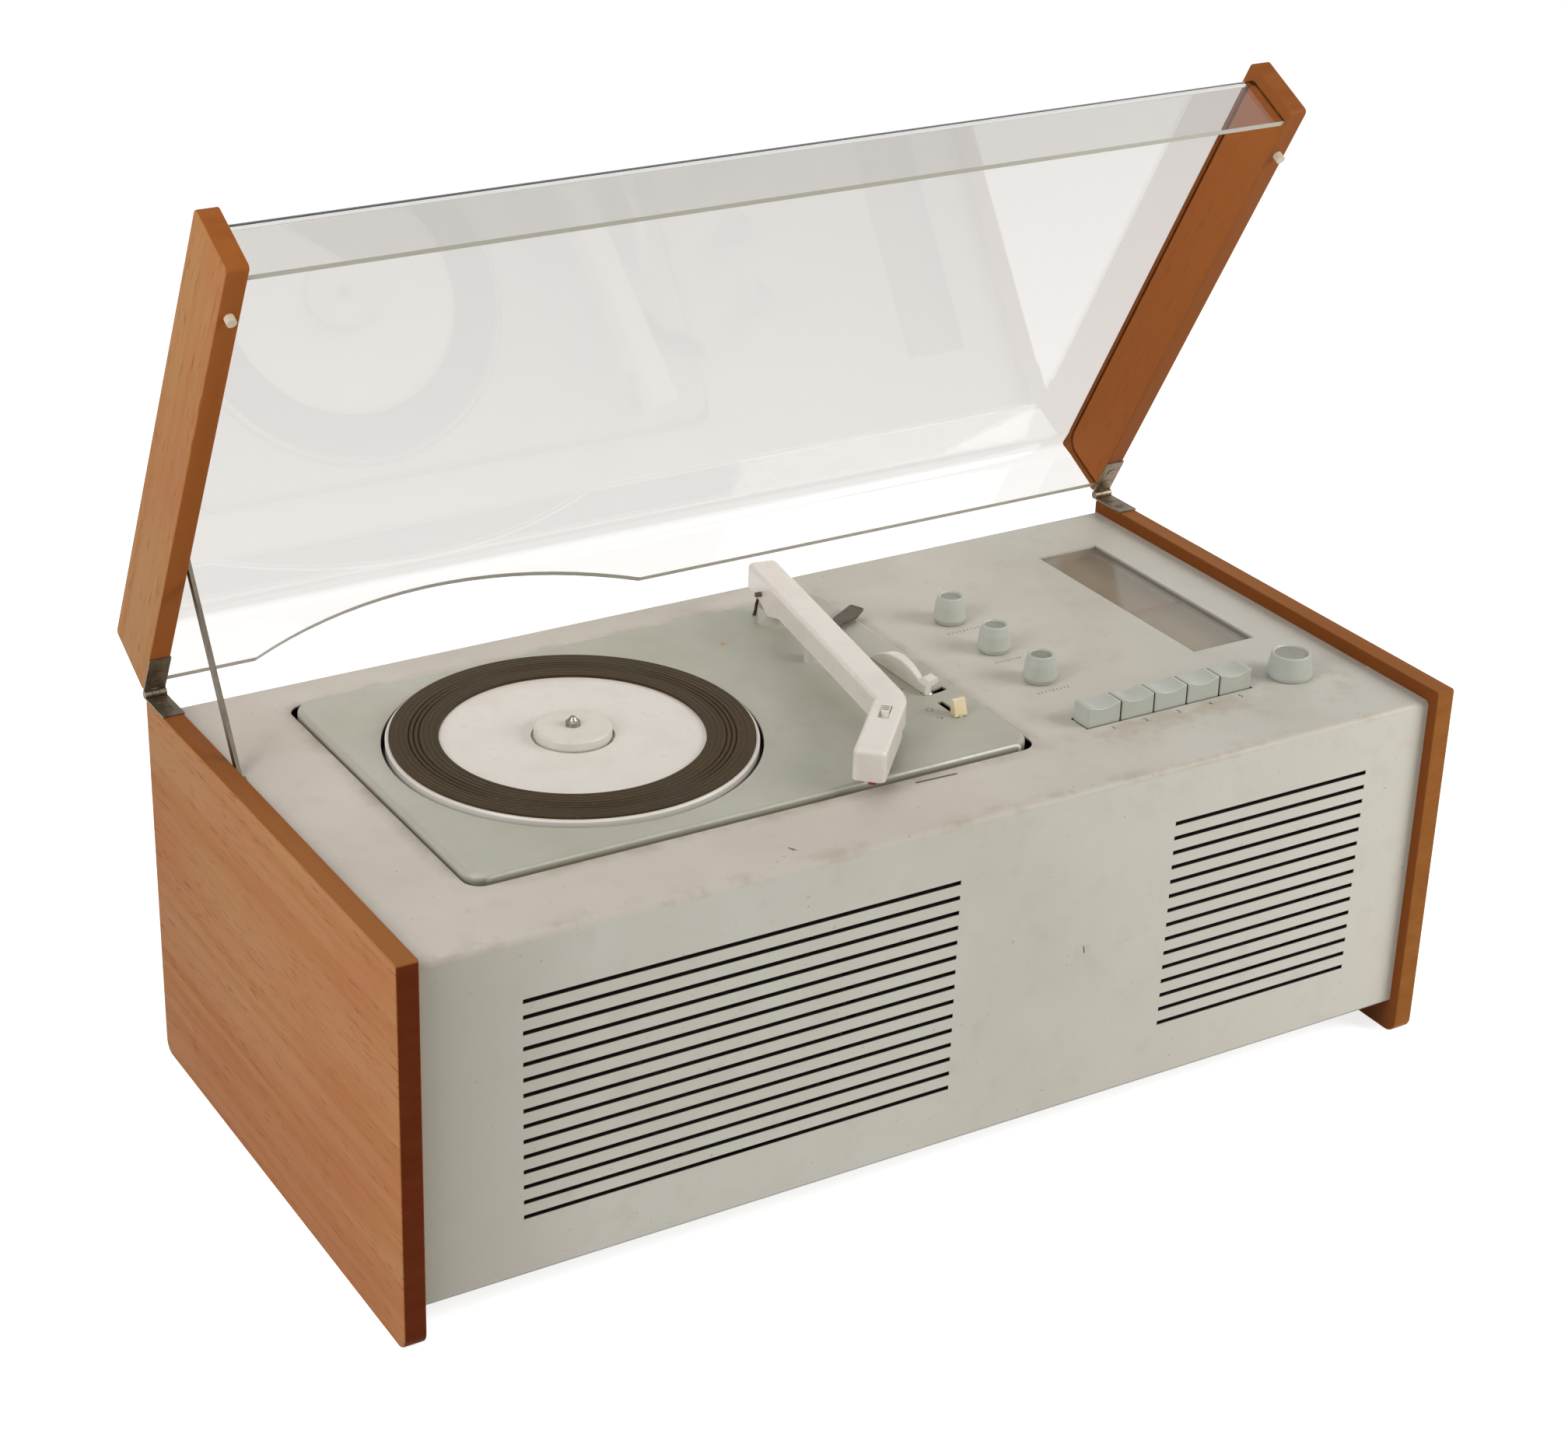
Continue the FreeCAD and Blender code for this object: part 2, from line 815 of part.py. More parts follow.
def rear_sockets():
    """Socket strip with round sockets, and the mains inlet with its two pins."""
    y0, y1 = rear_panel_faces()
    strip = block(socket_plate_x - socket_plate_width / 2, socket_plate_x + socket_plate_width / 2,
                  y0 - socket_plate_thickness, y0, socket_plate_z - socket_plate_height / 2,
                  socket_plate_z + socket_plate_height / 2)
    cups = [rod(socket_radius, V(x, y0 - socket_depth, socket_plate_z), V(x, y1, socket_plate_z))
            for x in socket_places()]
    strip = fuse_all([strip] + cups)
    strip = strip.cut([rod(socket_bore, V(x, y0 - socket_depth - cut_over, socket_plate_z),
                           V(x, y1 + cut_over, socket_plate_z)) for x in socket_places()])
    z0, z1 = socket_plate_z - inlet_height / 2, socket_plate_z + inlet_height / 2
    x0, x1 = inlet_x - inlet_width / 2, inlet_x + inlet_width / 2
    shell = block(x0, x1, y1 - inlet_depth, y1, z0, z1)
    hollow = block(x0 + inlet_wall, x1 - inlet_wall, y1 - inlet_depth + inlet_wall, y1 + cut_over,
                   z0 + inlet_wall, z1 - inlet_wall)
    shell = shell.cut(hollow)
    for side in (-1, 1):
        pin_x = inlet_x + side * inlet_pin_spread / 2
        shell = shell.fuse(rod(inlet_pin_radius, V(pin_x, y1 - inlet_depth, socket_plate_z),
                               V(pin_x, y1 - inlet_depth + inlet_pin_length, socket_plate_z)))
    return Part.makeCompound([strip, shell])


# Loudspeakers

def speakers():
    """Centre x and outer radius of the two loudspeakers."""
    return [(left_speaker_x, left_speaker_radius), (right_speaker_x, right_speaker_radius)]


def facing_back(shape, x):
    """Turn a piece drawn upright so that its axis runs rearward from the board's rear face."""
    result = shape.copy()
    result.rotate(V(0, 0, 0), X_AXIS, -math.degrees(math.pi / 2))
    result.translate(V(x, baffle_rear(), speaker_z))
    return result


def baffle_rear():
    """Rear face of the loudspeaker board."""
    return cover_front + sheet + baffle_front_gap + baffle_thickness


def speaker_baffle():
    """Board behind the slots with a round opening for each loudspeaker."""
    half = inner_x - baffle_side_gap
    y1 = baffle_rear()
    board = block(-half, half, y1 - baffle_thickness, y1,
                  cover_ground_gap + sheet + base_thickness, cover_under - baffle_top_gap)
    holes = [rod(radius - basket_flange * 2, V(x, y1 - baffle_thickness - cut_over, speaker_z),
                 V(x, y1 + cut_over, speaker_z)) for x, radius in speakers()]
    return board.cut(holes)


def speaker_frames():
    """Pressed baskets with a flat flange against the board."""
    frames = []
    for x, radius in speakers():
        depth = basket_depth_share * radius
        small = magnet_radius_share * radius
        profile = [(radius - basket_flange * 2, 0), (radius, 0), (radius, basket_wall),
                   (radius - basket_flange, basket_wall), (small, depth), (0, depth),
                   (0, depth - basket_wall), (small - basket_wall, depth - basket_wall)]
        frames.append(facing_back(turned(profile, 0, 0), x))
    return Part.makeCompound(frames)


def speaker_magnets():
    """Magnets on the baskets."""
    magnets = []
    for x, radius in speakers():
        depth = basket_depth_share * radius
        magnets.append(facing_back(post(magnet_radius_share * radius, 0, 0, depth,
                                        depth + magnet_height), x))
    return Part.makeCompound(magnets)


def speaker_cones():
    """Paper cones with a dust cap, inside the baskets."""
    cones = []
    for x, radius in speakers():
        depth = basket_depth_share * radius - basket_wall - cone_wall
        edge = radius - basket_flange * 2 - cone_wall
        cap = cone_dome_share * radius
        profile = [(edge, 0), (edge, cone_wall), (cap, depth), (0, depth),
                   (0, depth - cone_wall * 2), (cap, depth - cone_wall), (edge - cone_wall, 0)]
        cones.append(facing_back(turned(profile, 0, 0), x))
    return Part.makeCompound(cones)


# Turntable

def idler_place():
    """Axis of the idler wheel inside the platter's rim."""
    angle = math.radians(idler_bearing_angle)
    reach = platter_radius - platter_rim - drive_gap - idler_radius
    return V(platter_x + reach * math.cos(angle), platter_y + reach * math.sin(angle), 0)


def pulley_place():
    """Axis of the motor pulley beside the idler wheel."""
    angle = math.radians(idler_bearing_angle + pulley_angle)
    reach = idler_radius + drive_gap + pulley_radius
    return idler_place() + V(reach * math.cos(angle), reach * math.sin(angle), 0)


def arm_place(along, side, z):
    """Point of the deck beside or under the arm at rest, measured from the arm's pivot."""
    angle = math.radians(arm_swing_angle)
    ahead, across = V(-math.sin(angle), -math.cos(angle), 0), V(-math.cos(angle), math.sin(angle), 0)
    return V(arm_pivot_x, arm_pivot_y, z) + ahead * along + across * side


def sector_slot(pivot, reach, half_width, start, sweep):
    """Cutter for a curved slot through the deck about a pivot."""
    z0 = deck_under - cut_over
    height = sheet + cut_over * 2
    outer = Part.makeCylinder(reach + half_width, height, V(pivot.x, pivot.y, z0), Z_AXIS, sweep)
    slot = outer.cut(Part.makeCylinder(reach - half_width, height, V(pivot.x, pivot.y, z0)))
    slot.rotate(pivot, Z_AXIS, start)
    return slot


def deck_plate():
    """Raised turntable deck: pressed tray with a round well and the idler wheel's stub."""
    low = deck_top - deck_skirt
    shell = plate(deck_left, deck_right, deck_front, deck_rear, low, deck_top, deck_corner)
    shell = fillet_where(shell, deck_edge_radius, edge_at_height(deck_top))
    inside = plate(deck_left + sheet, deck_right - sheet, deck_front + sheet, deck_rear - sheet,
                   low - cut_over, deck_under, deck_corner - sheet)
    inside = fillet_where(inside, deck_edge_radius - sheet, edge_at_height(deck_under))
    cup = post(well_radius + sheet, platter_x, platter_y, well_under, deck_under + sheet / 2)
    deck = shell.cut(inside).fuse(cup)
    deck = deck.cut(post(well_radius, platter_x, platter_y, well_floor, deck_top + cut_over))
    idler = idler_place()
    stub = post(idler_pin_radius * 2, idler.x, idler.y, well_floor - sheet / 2,
                well_floor + idler_lift - running_gap)
    pin = post(idler_pin_radius, idler.x, idler.y, well_floor,
               well_floor + idler_lift + idler_thickness + running_gap)
    deck = fuse_all([deck, stub, pin])
    pulley = pulley_place()
    through = (well_under - cut_over, deck_top + cut_over)
    speed_pivot = speed_pin_place()
    stop_reach = arm_place(rest_along, 0, 0)
    cutters = [post(bearing_radius + running_gap, platter_x, platter_y, *through),
               post(pulley_radius + part_gap, pulley.x, pulley.y, *through),
               post(bracket_shaft_radius + arm_base_wall + running_gap, arm_pivot_x, arm_pivot_y,
                    *through),
               post(rest_radius / 2 + running_gap, stop_reach.x, stop_reach.y, *through),
               post(speed_pin_radius + running_gap, speed_pivot.x, speed_pivot.y, *through),
               post(stop_pin_radius + running_gap, stop_pivot_x, stop_pivot_y, *through),
               block(slider_x - slider_stem_width / 2 - slot_clearance,
                     slider_x + slider_stem_width / 2 + slot_clearance,
                     slider_front - slot_clearance,
                     slider_front + slider_length + slider_travel + slot_clearance, *through)]
    foot = speed_foot_place() - speed_pivot
    margin = math.degrees((speed_foot_width / 2 + slot_clearance) / foot.Length)
    start = math.degrees(math.atan2(foot.y, foot.x)) - margin
    cutters.append(sector_slot(speed_pivot, foot.Length, speed_foot_length / 2 + slot_clearance, start,
                               speed_range + margin * 2))
    return deck.cut(cutters)


def deck_mounts():
    """Rubber bushes between the cover's ears and the deck."""
    low = deck_under - bush_height()
    return Part.makeCompound([post(bush_radius, x - side * bush_inset, y, low, deck_under)
                              for x, y, side in bush_places()])


def platter_bearing():
    """Flanged bearing sleeve under the platter, closed at its lower end."""
    profile = [(0, well_under - bearing_length), (bearing_radius, well_under - bearing_length),
               (bearing_radius, well_floor), (bearing_flange_radius, well_floor),
               (bearing_flange_radius, well_floor + sheet),
               (spindle_radius + running_gap, well_floor + sheet),
               (spindle_radius + running_gap, well_under - bearing_length + sheet),
               (0, well_under - bearing_length + sheet)]
    return turned(profile, platter_x, platter_y)


def platter():
    """Cast platter: rim with a raised lip, mat seat, raised centre disc and adapter recess."""
    inner = platter_radius - platter_rim
    bore = spindle_radius + running_gap
    boss_low = platter_under - platter_boss_depth
    profile = [(bore, recess_floor), (recess_radius, recess_floor), (recess_radius, disc_top),
               (mat_inner_radius, disc_top), (mat_inner_radius, rim_top),
               (mat_outer_radius, rim_top), (mat_outer_radius, rim_top + lip_rise),
               (platter_radius - platter_edge_radius, rim_top + lip_rise),
               (platter_radius, rim_top + lip_rise - platter_edge_radius),
               (platter_radius, rim_top - platter_skirt), (inner, rim_top - platter_skirt),
               (inner, platter_under), (platter_boss_radius, platter_under),
               (platter_boss_radius, boss_low), (bore, boss_low)]
    return turned(profile, platter_x, platter_y)


def platter_mat():
    """Rubber mat ring with concentric grooves."""
    inner, outer = mat_inner_radius + mat_play, mat_outer_radius - mat_play
    profile = [(inner, rim_top), (inner, mat_top)]
    first = (inner + outer - (mat_groove_count - 1) * mat_groove_pitch) / 2
    for i in range(mat_groove_count):
        middle = first + i * mat_groove_pitch
        low = mat_top - mat_groove_depth
        profile += [(middle - mat_groove_width / 2, mat_top), (middle, low),
                    (middle + mat_groove_width / 2, mat_top)]
    profile += [(outer, mat_top), (outer, rim_top)]
    return turned(profile, platter_x, platter_y)


def spindle():
    """Record spindle with a stepped, rounded tip; its lower end runs in the bearing."""
    low = well_under - bearing_length + sheet
    shoulder = spindle_top - spindle_cap_radius
    profile = [(0, low), (spindle_radius, low), (spindle_radius, shoulder),
               (spindle_cap_radius, shoulder + spindle_cap_radius / 3),
               (spindle_cap_radius / 2, spindle_top), (0, spindle_top)]
    return turned(profile, platter_x, platter_y)


def centre_adapter():
    """Lift-off adapter for records with a large centre hole."""
    top = recess_floor + adapter_height
    bore = spindle_radius + running_gap
    foot = adapter_radius - adapter_foot_inset
    foot_top = disc_top + adapter_foot_rise
    profile = [(bore, recess_floor), (foot, recess_floor), (foot, foot_top),
               (adapter_radius, foot_top), (adapter_radius, top - adapter_edge_radius),
               (adapter_radius - adapter_edge_radius / 3, top - adapter_edge_radius / 3),
               (adapter_radius - adapter_edge_radius, top), (bore, top)]
    return turned(profile, platter_x, platter_y)


def idler_wheel():
    """Rubber-tyred wheel between the motor pulley and the platter's rim."""
    z0 = well_floor + idler_lift
    z1 = z0 + idler_thickness
    bore = idler_pin_radius + running_gap
    groove = idler_thickness / 3
    profile = [(bore, z0), (idler_radius, z0), (idler_radius, z1), (idler_radius - groove, z1),
               (idler_radius - groove, z1 - groove), (idler_hub_radius, z1 - groove),
               (idler_hub_radius, z1), (bore, z1)]
    place = idler_place()
    return turned(profile, place.x, place.y)


def motor_pulley():
    """Motor shaft with the drive pulley on top."""
    place = pulley_place()
    low = well_under - motor_collar * 2
    z0 = well_floor + idler_lift - pulley_height / 4
    profile = [(0, low), (motor_shaft_radius, low), (motor_shaft_radius, z0), (pulley_radius, z0),
               (pulley_radius, z0 + pulley_height), (0, z0 + pulley_height)]
    return turned(profile, place.x, place.y)


def motor():
    """Motor hung under the well, with a collar and a bore for the pulley's shaft."""
    place = pulley_place()
    collar_low = well_under - motor_collar
    bore = motor_shaft_radius + running_gap
    profile = [(bore, well_under), (motor_collar_radius, well_under),
               (motor_collar_radius, collar_low), (motor_radius, collar_low),
               (motor_radius, collar_low - motor_length), (0, collar_low - motor_length),
               (0, collar_low - motor_collar * 2), (bore, collar_low - motor_collar * 2)]
    return turned(profile, place.x, place.y)


# Pick-up arm, drawn straight and level about its pivot, front towards -Y, top face at height 0

def bend_directions():
    """Unit vectors along the head and across it to the left."""
    angle = math.radians(arm_bend_angle)
    return V(-math.sin(angle), -math.cos(angle), 0), V(-math.cos(angle), math.sin(angle), 0)


def head_point(along, side, z):
    """Point of the head: along runs forward from the elbow, side to the left."""
    ahead, across = bend_directions()
    return V(0, -arm_straight, z) + ahead * along + across * side


def head_block(along0, along1, side0, side1, z0, z1):
    """Box aligned with the head."""
    corners = [head_point(along0, side0, z0), head_point(along1, side0, z0),
               head_point(along1, side1, z0), head_point(along0, side1, z0)]
    return prism(corners, [0] * len(corners), V(0, 0, z1 - z0))


def arm_outline(inset, z):
    """Plan outline of the arm, moved inward by a wall, with its corner radii."""
    half = arm_width / 2 - inset
    ahead, across = bend_directions()
    mitre = V(-1, 0, 0) + across
    mitre = mitre * (half / (1 + V(-1, 0, 0).dot(across)))
    elbow = V(0, -arm_straight, z)
    front = head_length - inset
    points = [V(half, arm_tail - inset, z), V(-half, arm_tail - inset, z), elbow + mitre,
              head_point(front, half, z), head_point(front, -half, z), elbow - mitre]
    radii = [arm_corner - inset / 2, arm_corner - inset / 2, arm_inner_bend + inset,
             arm_corner - inset / 2, arm_corner - inset / 2, arm_outer_bend - inset]
    return points, radii


def under_cutter():
    """Cutter that makes the straight part shallower than the head, with a sloping step."""
    far = arm_straight * 2
    deep = head_depth + cut_over
    profile = [head_point(-far, -far, -deep), head_point(-far, -far, -arm_depth),
               head_point(head_step_start, -far, -arm_depth),
               head_point(head_step_end, -far, -head_depth), head_point(head_step_end, -far, -deep)]
    ahead, across = bend_directions()
    return prism(profile, [0] * len(profile), across * (far * 2))


def arm_ears():
    """Pointed ears of the side walls that carry the hinge pin."""
    profile = [V(0, ear_back, -arm_depth), V(0, -ear_ahead, -arm_depth - ear_drop),
               V(0, -ear_ahead - ear_tip, -arm_depth - ear_drop), V(0, -ear_run, -arm_depth),
               V(0, -ear_run, -arm_depth + arm_wall), V(0, ear_back, -arm_depth + arm_wall)]
    ears = []
    for x in (-arm_width / 2, arm_width / 2 - arm_wall):
        points = [point + V(x, 0, 0) for point in profile]
        ears.append(prism(points, [0] * len(points), V(arm_wall, 0, 0)))
    return ears


def placed_arm(shape):
    """Tilt and turn a piece of the arm to where it rests."""
    result = shape.copy()
    result.translate(V(0, 0, deck_top + arm_top_above_deck))
    result.rotate(V(0, 0, deck_top + pin_above_deck), X_AXIS, arm_slope)
    result.rotate(V(0, 0, 0), Z_AXIS, -arm_swing_angle)
    result.translate(V(arm_pivot_x, arm_pivot_y, 0))
    return result


def pin_height():
    """Height of the hinge pin below the arm's top face, in the arm's own frame."""
    return pin_above_deck - arm_top_above_deck


def cartridge_height():
    """Height of the cartridge's turning axis in the arm's own frame."""
    return cartridge_above_opening - head_depth


def tonearm():
    """Hollow moulded arm with a straight part, an elbow and a deeper head."""
    points, radii = arm_outline(0, -head_depth)
    body = prism(points, radii, V(0, 0, head_depth))
    body = fillet_where(body, arm_edge_radius, edge_at_height(0))
    points, radii = arm_outline(arm_wall, -head_depth - cut_over)
    body = body.cut([under_cutter(), prism(points, radii, V(0, 0, head_depth + cut_over - arm_wall))])
    half = arm_width / 2
    rib = block(-half + arm_wall / 2, half - arm_wall / 2, -rest_along - rest_rib_half,
                -rest_along + rest_rib_half, -arm_depth, -arm_wall / 2)
    bearing_along = head_length - cartridge_from_front - cartridge_length - arm_wall
    rib_front = head_block(bearing_along - arm_wall, bearing_along, -half + arm_wall / 2,
                           half - arm_wall / 2, cartridge_height() - arm_wall * 2,
                           cartridge_height() + arm_wall * 2)
    body = fuse_all([body, rib, rib_front] + arm_ears())
    axis_z = cartridge_height()
    cartridge_bore = rod(cartridge_pin_radius + running_gap,
                         head_point(bearing_along - arm_wall - cut_over, 0, axis_z),
                         head_point(head_length - arm_wall / 2, 0, axis_z))
    pin_bore = rod(pin_radius + running_gap, V(-arm_width, 0, pin_height()),
                   V(arm_width, 0, pin_height()))
    window = head_block(window_along - window_length / 2, window_along + window_length / 2,
                        -window_width / 2, window_width / 2, -arm_wall - cut_over, cut_over)
    return placed_arm(body.cut([cartridge_bore, pin_bore, window]))


def stylus_selector():
    """Slider in the window of the head, on a tongue that fills the window from below."""
    start = window_along - window_length / 2 + touch_gap
    half = window_width / 2 - touch_gap
    slider = head_block(start, start + selector_length, -half, half, -arm_wall - touch_gap - sheet,
                        selector_above)
    tongue = head_block(start - selector_tongue, start + selector_length + selector_tongue,
                        -window_width / 2 - sheet / 2, window_width / 2 + sheet / 2,
                        -arm_wall - touch_gap - sheet, -arm_wall - touch_gap)
    return placed_arm(fuse_all([slider, tongue]))


def cartridge():
    """Turnover cartridge on a lengthwise pin with one stylus below and one above."""
    front = head_length - cartridge_from_front
    rear = front - cartridge_length
    axis_z = cartridge_height()
    body = head_block(rear, front, -cartridge_width / 2, cartridge_width / 2,
                      axis_z - cartridge_thickness / 2, axis_z + cartridge_thickness / 2)
    pin = rod(cartridge_pin_radius, head_point(rear - arm_wall * 2, 0, axis_z),
              head_point(front + cartridge_from_front - arm_wall, 0, axis_z))
    parts = [body, pin]
    for side in (-1, 1):
        foot = head_point(head_length - stylus_from_front, 0,
                          axis_z + side * cartridge_thickness / 2)
        parts.append(Part.makeCone(stylus_top_radius, stylus_tip_radius, stylus_length, foot,
                                   V(0, 0, side)))
    return placed_arm(fuse_all(parts))


def arm_bracket():
    """Swinging bracket: upright shaft, post and the cross pin on which the arm lifts."""
    pin_z = pin_height()
    base = -arm_top_above_deck
    seat = base + arm_base_wall
    shaft = post(bracket_shaft_radius, 0, 0, base - deck_skirt * 2, seat + arm_base_wall)
    lower = post(bracket_post_radius, 0, 0, seat + touch_gap, base + arm_base_height + touch_gap)
    half = arm_width / 2 - arm_wall - part_gap
    yoke = block(-half, half, -bracket_yoke_length / 2, bracket_yoke_length / 2,
                 base + arm_base_height, pin_z + bracket_pin_cover)
    pin = rod(pin_radius, V(-arm_width / 2 - pin_overhang, 0, pin_z),
              V(arm_width / 2 + pin_overhang, 0, pin_z))
    bracket = fuse_all([shaft, lower, yoke, pin])
    bracket.translate(V(0, 0, deck_top + arm_top_above_deck))
    bracket.rotate(V(0, 0, 0), Z_AXIS, -arm_swing_angle)
    bracket.translate(V(arm_pivot_x, arm_pivot_y, 0))
    return bracket


def arm_base():
    """Hollow round base of the arm with a sleeve through the deck."""
    bore = bracket_shaft_radius + running_gap
    sleeve = bracket_shaft_radius + arm_base_wall
    low = deck_top - deck_skirt
    inner = arm_base_radius - arm_base_wall
    profile = [(bore, low), (sleeve, low), (sleeve, deck_top), (arm_base_radius, deck_top),
               (arm_base_radius, deck_top + arm_base_height),
               (inner, deck_top + arm_base_height), (inner, deck_top + arm_base_wall),
               (bore, deck_top + arm_base_wall)]
    return turned(profile, arm_pivot_x, arm_pivot_y)


def arm_rest():
    """Rest post under the arm's rib, with a fixing stem through the deck."""
    place = arm_place(rest_along, 0, 0)
    drop = math.sin(math.radians(arm_slope)) * (rest_along + rest_rib_half)
    top = deck_top + arm_top_above_deck - arm_depth - drop - touch_gap * 2
    profile = [(0, deck_top - deck_skirt), (rest_radius / 2, deck_top - deck_skirt),
               (rest_radius / 2, deck_top), (rest_radius, deck_top), (rest_radius, top - sheet),
               (rest_radius - sheet / 2, top), (0, top)]
    return turned(profile, place.x, place.y)


# Small levers on the deck

def speed_pin_place():
    """Pivot of the half-moon lever."""
    return V(speed_lever_x + speed_lever_width / 2, speed_lever_rear - speed_pin_inset, 0)


def speed_foot_place():
    """Middle of the half-moon lever's foot."""
    return V(speed_lever_x + speed_front_width / 2,
             speed_lever_rear - speed_lever_length - speed_tail_length / 2, 0)


def half_moon(x0, z0):
    """Upright plate with an arched top, flat on the left and tapered towards the front."""
    x1 = x0 + speed_lever_width
    rear_y, front_y = speed_lever_rear, speed_lever_rear - speed_lever_length
    rear, front = V(x0, rear_y, z0), V(x0, front_y, z0)
    crest = rear + V(0, -speed_lever_length * speed_crest_share, speed_crest_height)
    brow = front + V(0, 0, speed_front_height)
    edges = [Part.Arc(rear, crest, brow).toShape(), Part.makeLine(brow, front),
             Part.makeLine(front, rear)]
    arched = Part.Face(Part.Wire(edges)).extrude(V(speed_lever_width, 0, 0))
    plan = [front, front + V(speed_front_width, 0, 0), V(x1, front_y + speed_taper_length, z0),
            V(x1, rear_y, z0), rear]
    tapered = prism(plan, [0, 0, speed_taper_radius, 0, 0], V(0, 0, speed_crest_height + cut_over))
    moon = arched.common(tapered)
    return fillet_where(moon, speed_edge_radius,
                        lambda edge: min(edge.BoundBox.ZMax - z0, edge.BoundBox.YLength) > speed_edge_radius)


def speed_lever():
    """Half-moon lever with a forked front end, a pivot pin and a foot in the curved slot."""
    z0 = deck_top + touch_gap
    x0 = speed_lever_x
    front_y = speed_lever_rear - speed_lever_length
    profile = [V(x0 + x * speed_fork_reach, front_y - speed_tail_length, z0 + z * speed_fork_height)
               for x, z in speed_fork_outline_shares]
    fork = prism(profile, [speed_fork_radius] * len(profile),
                 V(0, speed_tail_length + speed_fork_sink, 0))
    place = speed_foot_place()
    foot = block(place.x - speed_foot_width / 2, place.x + speed_foot_width / 2,
                 place.y - speed_foot_length / 2, place.y + speed_foot_length / 2,
                 deck_top - speed_foot_depth, z0 + sheet)
    pin = post(speed_pin_radius, speed_pin_place().x, speed_pin_place().y,
               deck_top - speed_foot_depth, z0 + sheet)
    return fuse_all([half_moon(x0, z0), fork, foot, pin])


def start_slider():
    """Slider block on a stem that runs in a straight slot of the deck."""
    z0 = deck_top + touch_gap
    y0, y1 = slider_front, slider_front + slider_length
    x0, x1 = slider_x - slider_width / 2, slider_x + slider_width / 2
    z1 = z0 + slider_height
    profile = [V(x0, y0, z0), V(x0, y1, z0), V(x0, y1, z1), V(x0, y1 - slider_top_depth, z1)]
    cap = prism(profile, [slider_edge] * len(profile), V(x1 - x0, 0, 0))
    stem = block(slider_x - slider_stem_width / 2, slider_x + slider_stem_width / 2, y0, y1,
                 deck_top - slider_stem_depth, z0 + sheet)
    return fuse_all([cap, stem])


def auto_stop_lever():
    """Flat curved lever on a pin through the deck."""
    z0 = deck_top + stop_lever_lift
    points = [V(stop_pivot_x + x * stop_lever_reach, stop_pivot_y + y * stop_lever_reach, z0)
              for x, y in stop_lever_outline_shares]
    radii = [share * stop_lever_reach for share in stop_lever_corner_shares]
    blade = prism(points, radii, V(0, 0, stop_lever_thickness))
    hub = post(stop_pivot_radius, stop_pivot_x, stop_pivot_y, deck_top + touch_gap,
               z0 + stop_lever_thickness + stop_hub_rise)
    pin = post(stop_pin_radius, stop_pivot_x, stop_pivot_y, deck_top - deck_skirt,
               z0 + stop_lever_thickness)
    return fuse_all([blade, hub, pin])


# Radio controls

def knob(x, y, outline):
    """Knob with a dished top, hollow underneath, on its own shaft; outline holds (radius, rise)."""
    z0 = cover_top + knob_lift
    shaft_low = cover_under - shaft_seat_depth + sheet
    cavity = bush_thread_radius + part_gap
    cavity_top = cover_top + bush_length + part_gap
    rim, rise = outline[-1]
    rim -= knob_edge_radius
    z1 = z0 + rise + knob_edge_radius
    profile = [(0, shaft_low), (shaft_radius, shaft_low), (shaft_radius, cavity_top),
               (cavity, cavity_top), (cavity, z0)]
    profile += [(radius, z0 + height) for radius, height in outline]
    profile += [(rim, z1), (rim - knob_rim, z1), (rim - knob_rim - knob_dish_slope, z1 - knob_dish),
                (0, z1 - knob_dish - knob_edge_radius)]
    return turned(profile, x, y)


def small_knob(index):
    """One of the three small knobs, counted from the rear."""
    x, y = knob_places()[index]
    return knob(x, y, [(knob_foot_radius, 0), (knob_base_radius, knob_foot_height),
                       (knob_shoulder_radius, knob_shoulder_height),
                       (knob_top_radius, knob_height - knob_edge_radius)])


def tuning_knob():
    """Large tuning knob over a narrower foot ring."""
    return knob(tuning_x, tuning_y, [(tuning_foot_radius, 0), (tuning_foot_radius, tuning_foot_height),
                                     (tuning_base_radius, tuning_foot_height + tuning_groove),
                                     (tuning_top_radius, tuning_height - knob_edge_radius)])


def potentiometers():
    """Bodies under the cover with threaded bushes through it, one for each knob."""
    bodies = []
    for x, y in knob_places() + [(tuning_x, tuning_y)]:
        low = cover_under - shaft_seat_depth
        bore = shaft_radius + running_gap
        bush = bush_thread_radius - running_gap
        profile = [(0, low), (pot_radius, low), (pot_radius, cover_under), (bush, cover_under),
                   (bush, cover_top + bush_length), (bore, cover_top + bush_length),
                   (bore, low + sheet - running_gap), (0, low + sheet - running_gap)]
        bodies.append(turned(profile, x, y))
    return Part.makeCompound(bodies)


def key(index):
    """Push key with a scooped top and a stem down into the switch."""
    x0 = keys_left + index * key_pitch + key_slit / 2
    x1 = x0 + key_pitch - key_slit
    y0, y1 = keys_front, keys_front + key_depth
    z1 = cover_top + key_height
    cap = plate(x0, x1, y0, y1, cover_top - key_sink, z1, key_corner_radius)
    middle = (x0 + x1) / 2
    scoop_z = z1 - key_scoop_depth + key_scoop_radius
    cap = cap.cut(rod(key_scoop_radius, V(middle, y0 - cut_over, scoop_z),
                      V(middle, y1 + cut_over, scoop_z)))
    rim = z1 - key_scoop_depth - running_gap
    cap = fillet_where(cap, key_top_radius, lambda edge: edge.BoundBox.ZMin > rim)
    stem_y = (y0 + y1) / 2
    stem = block(middle - key_stem_width / 2, middle + key_stem_width / 2,
                 stem_y - key_stem_depth / 2, stem_y + key_stem_depth / 2,
                 cover_top - key_sink - key_stem_length, cover_top - key_sink)
    return fuse_all([cap, stem])


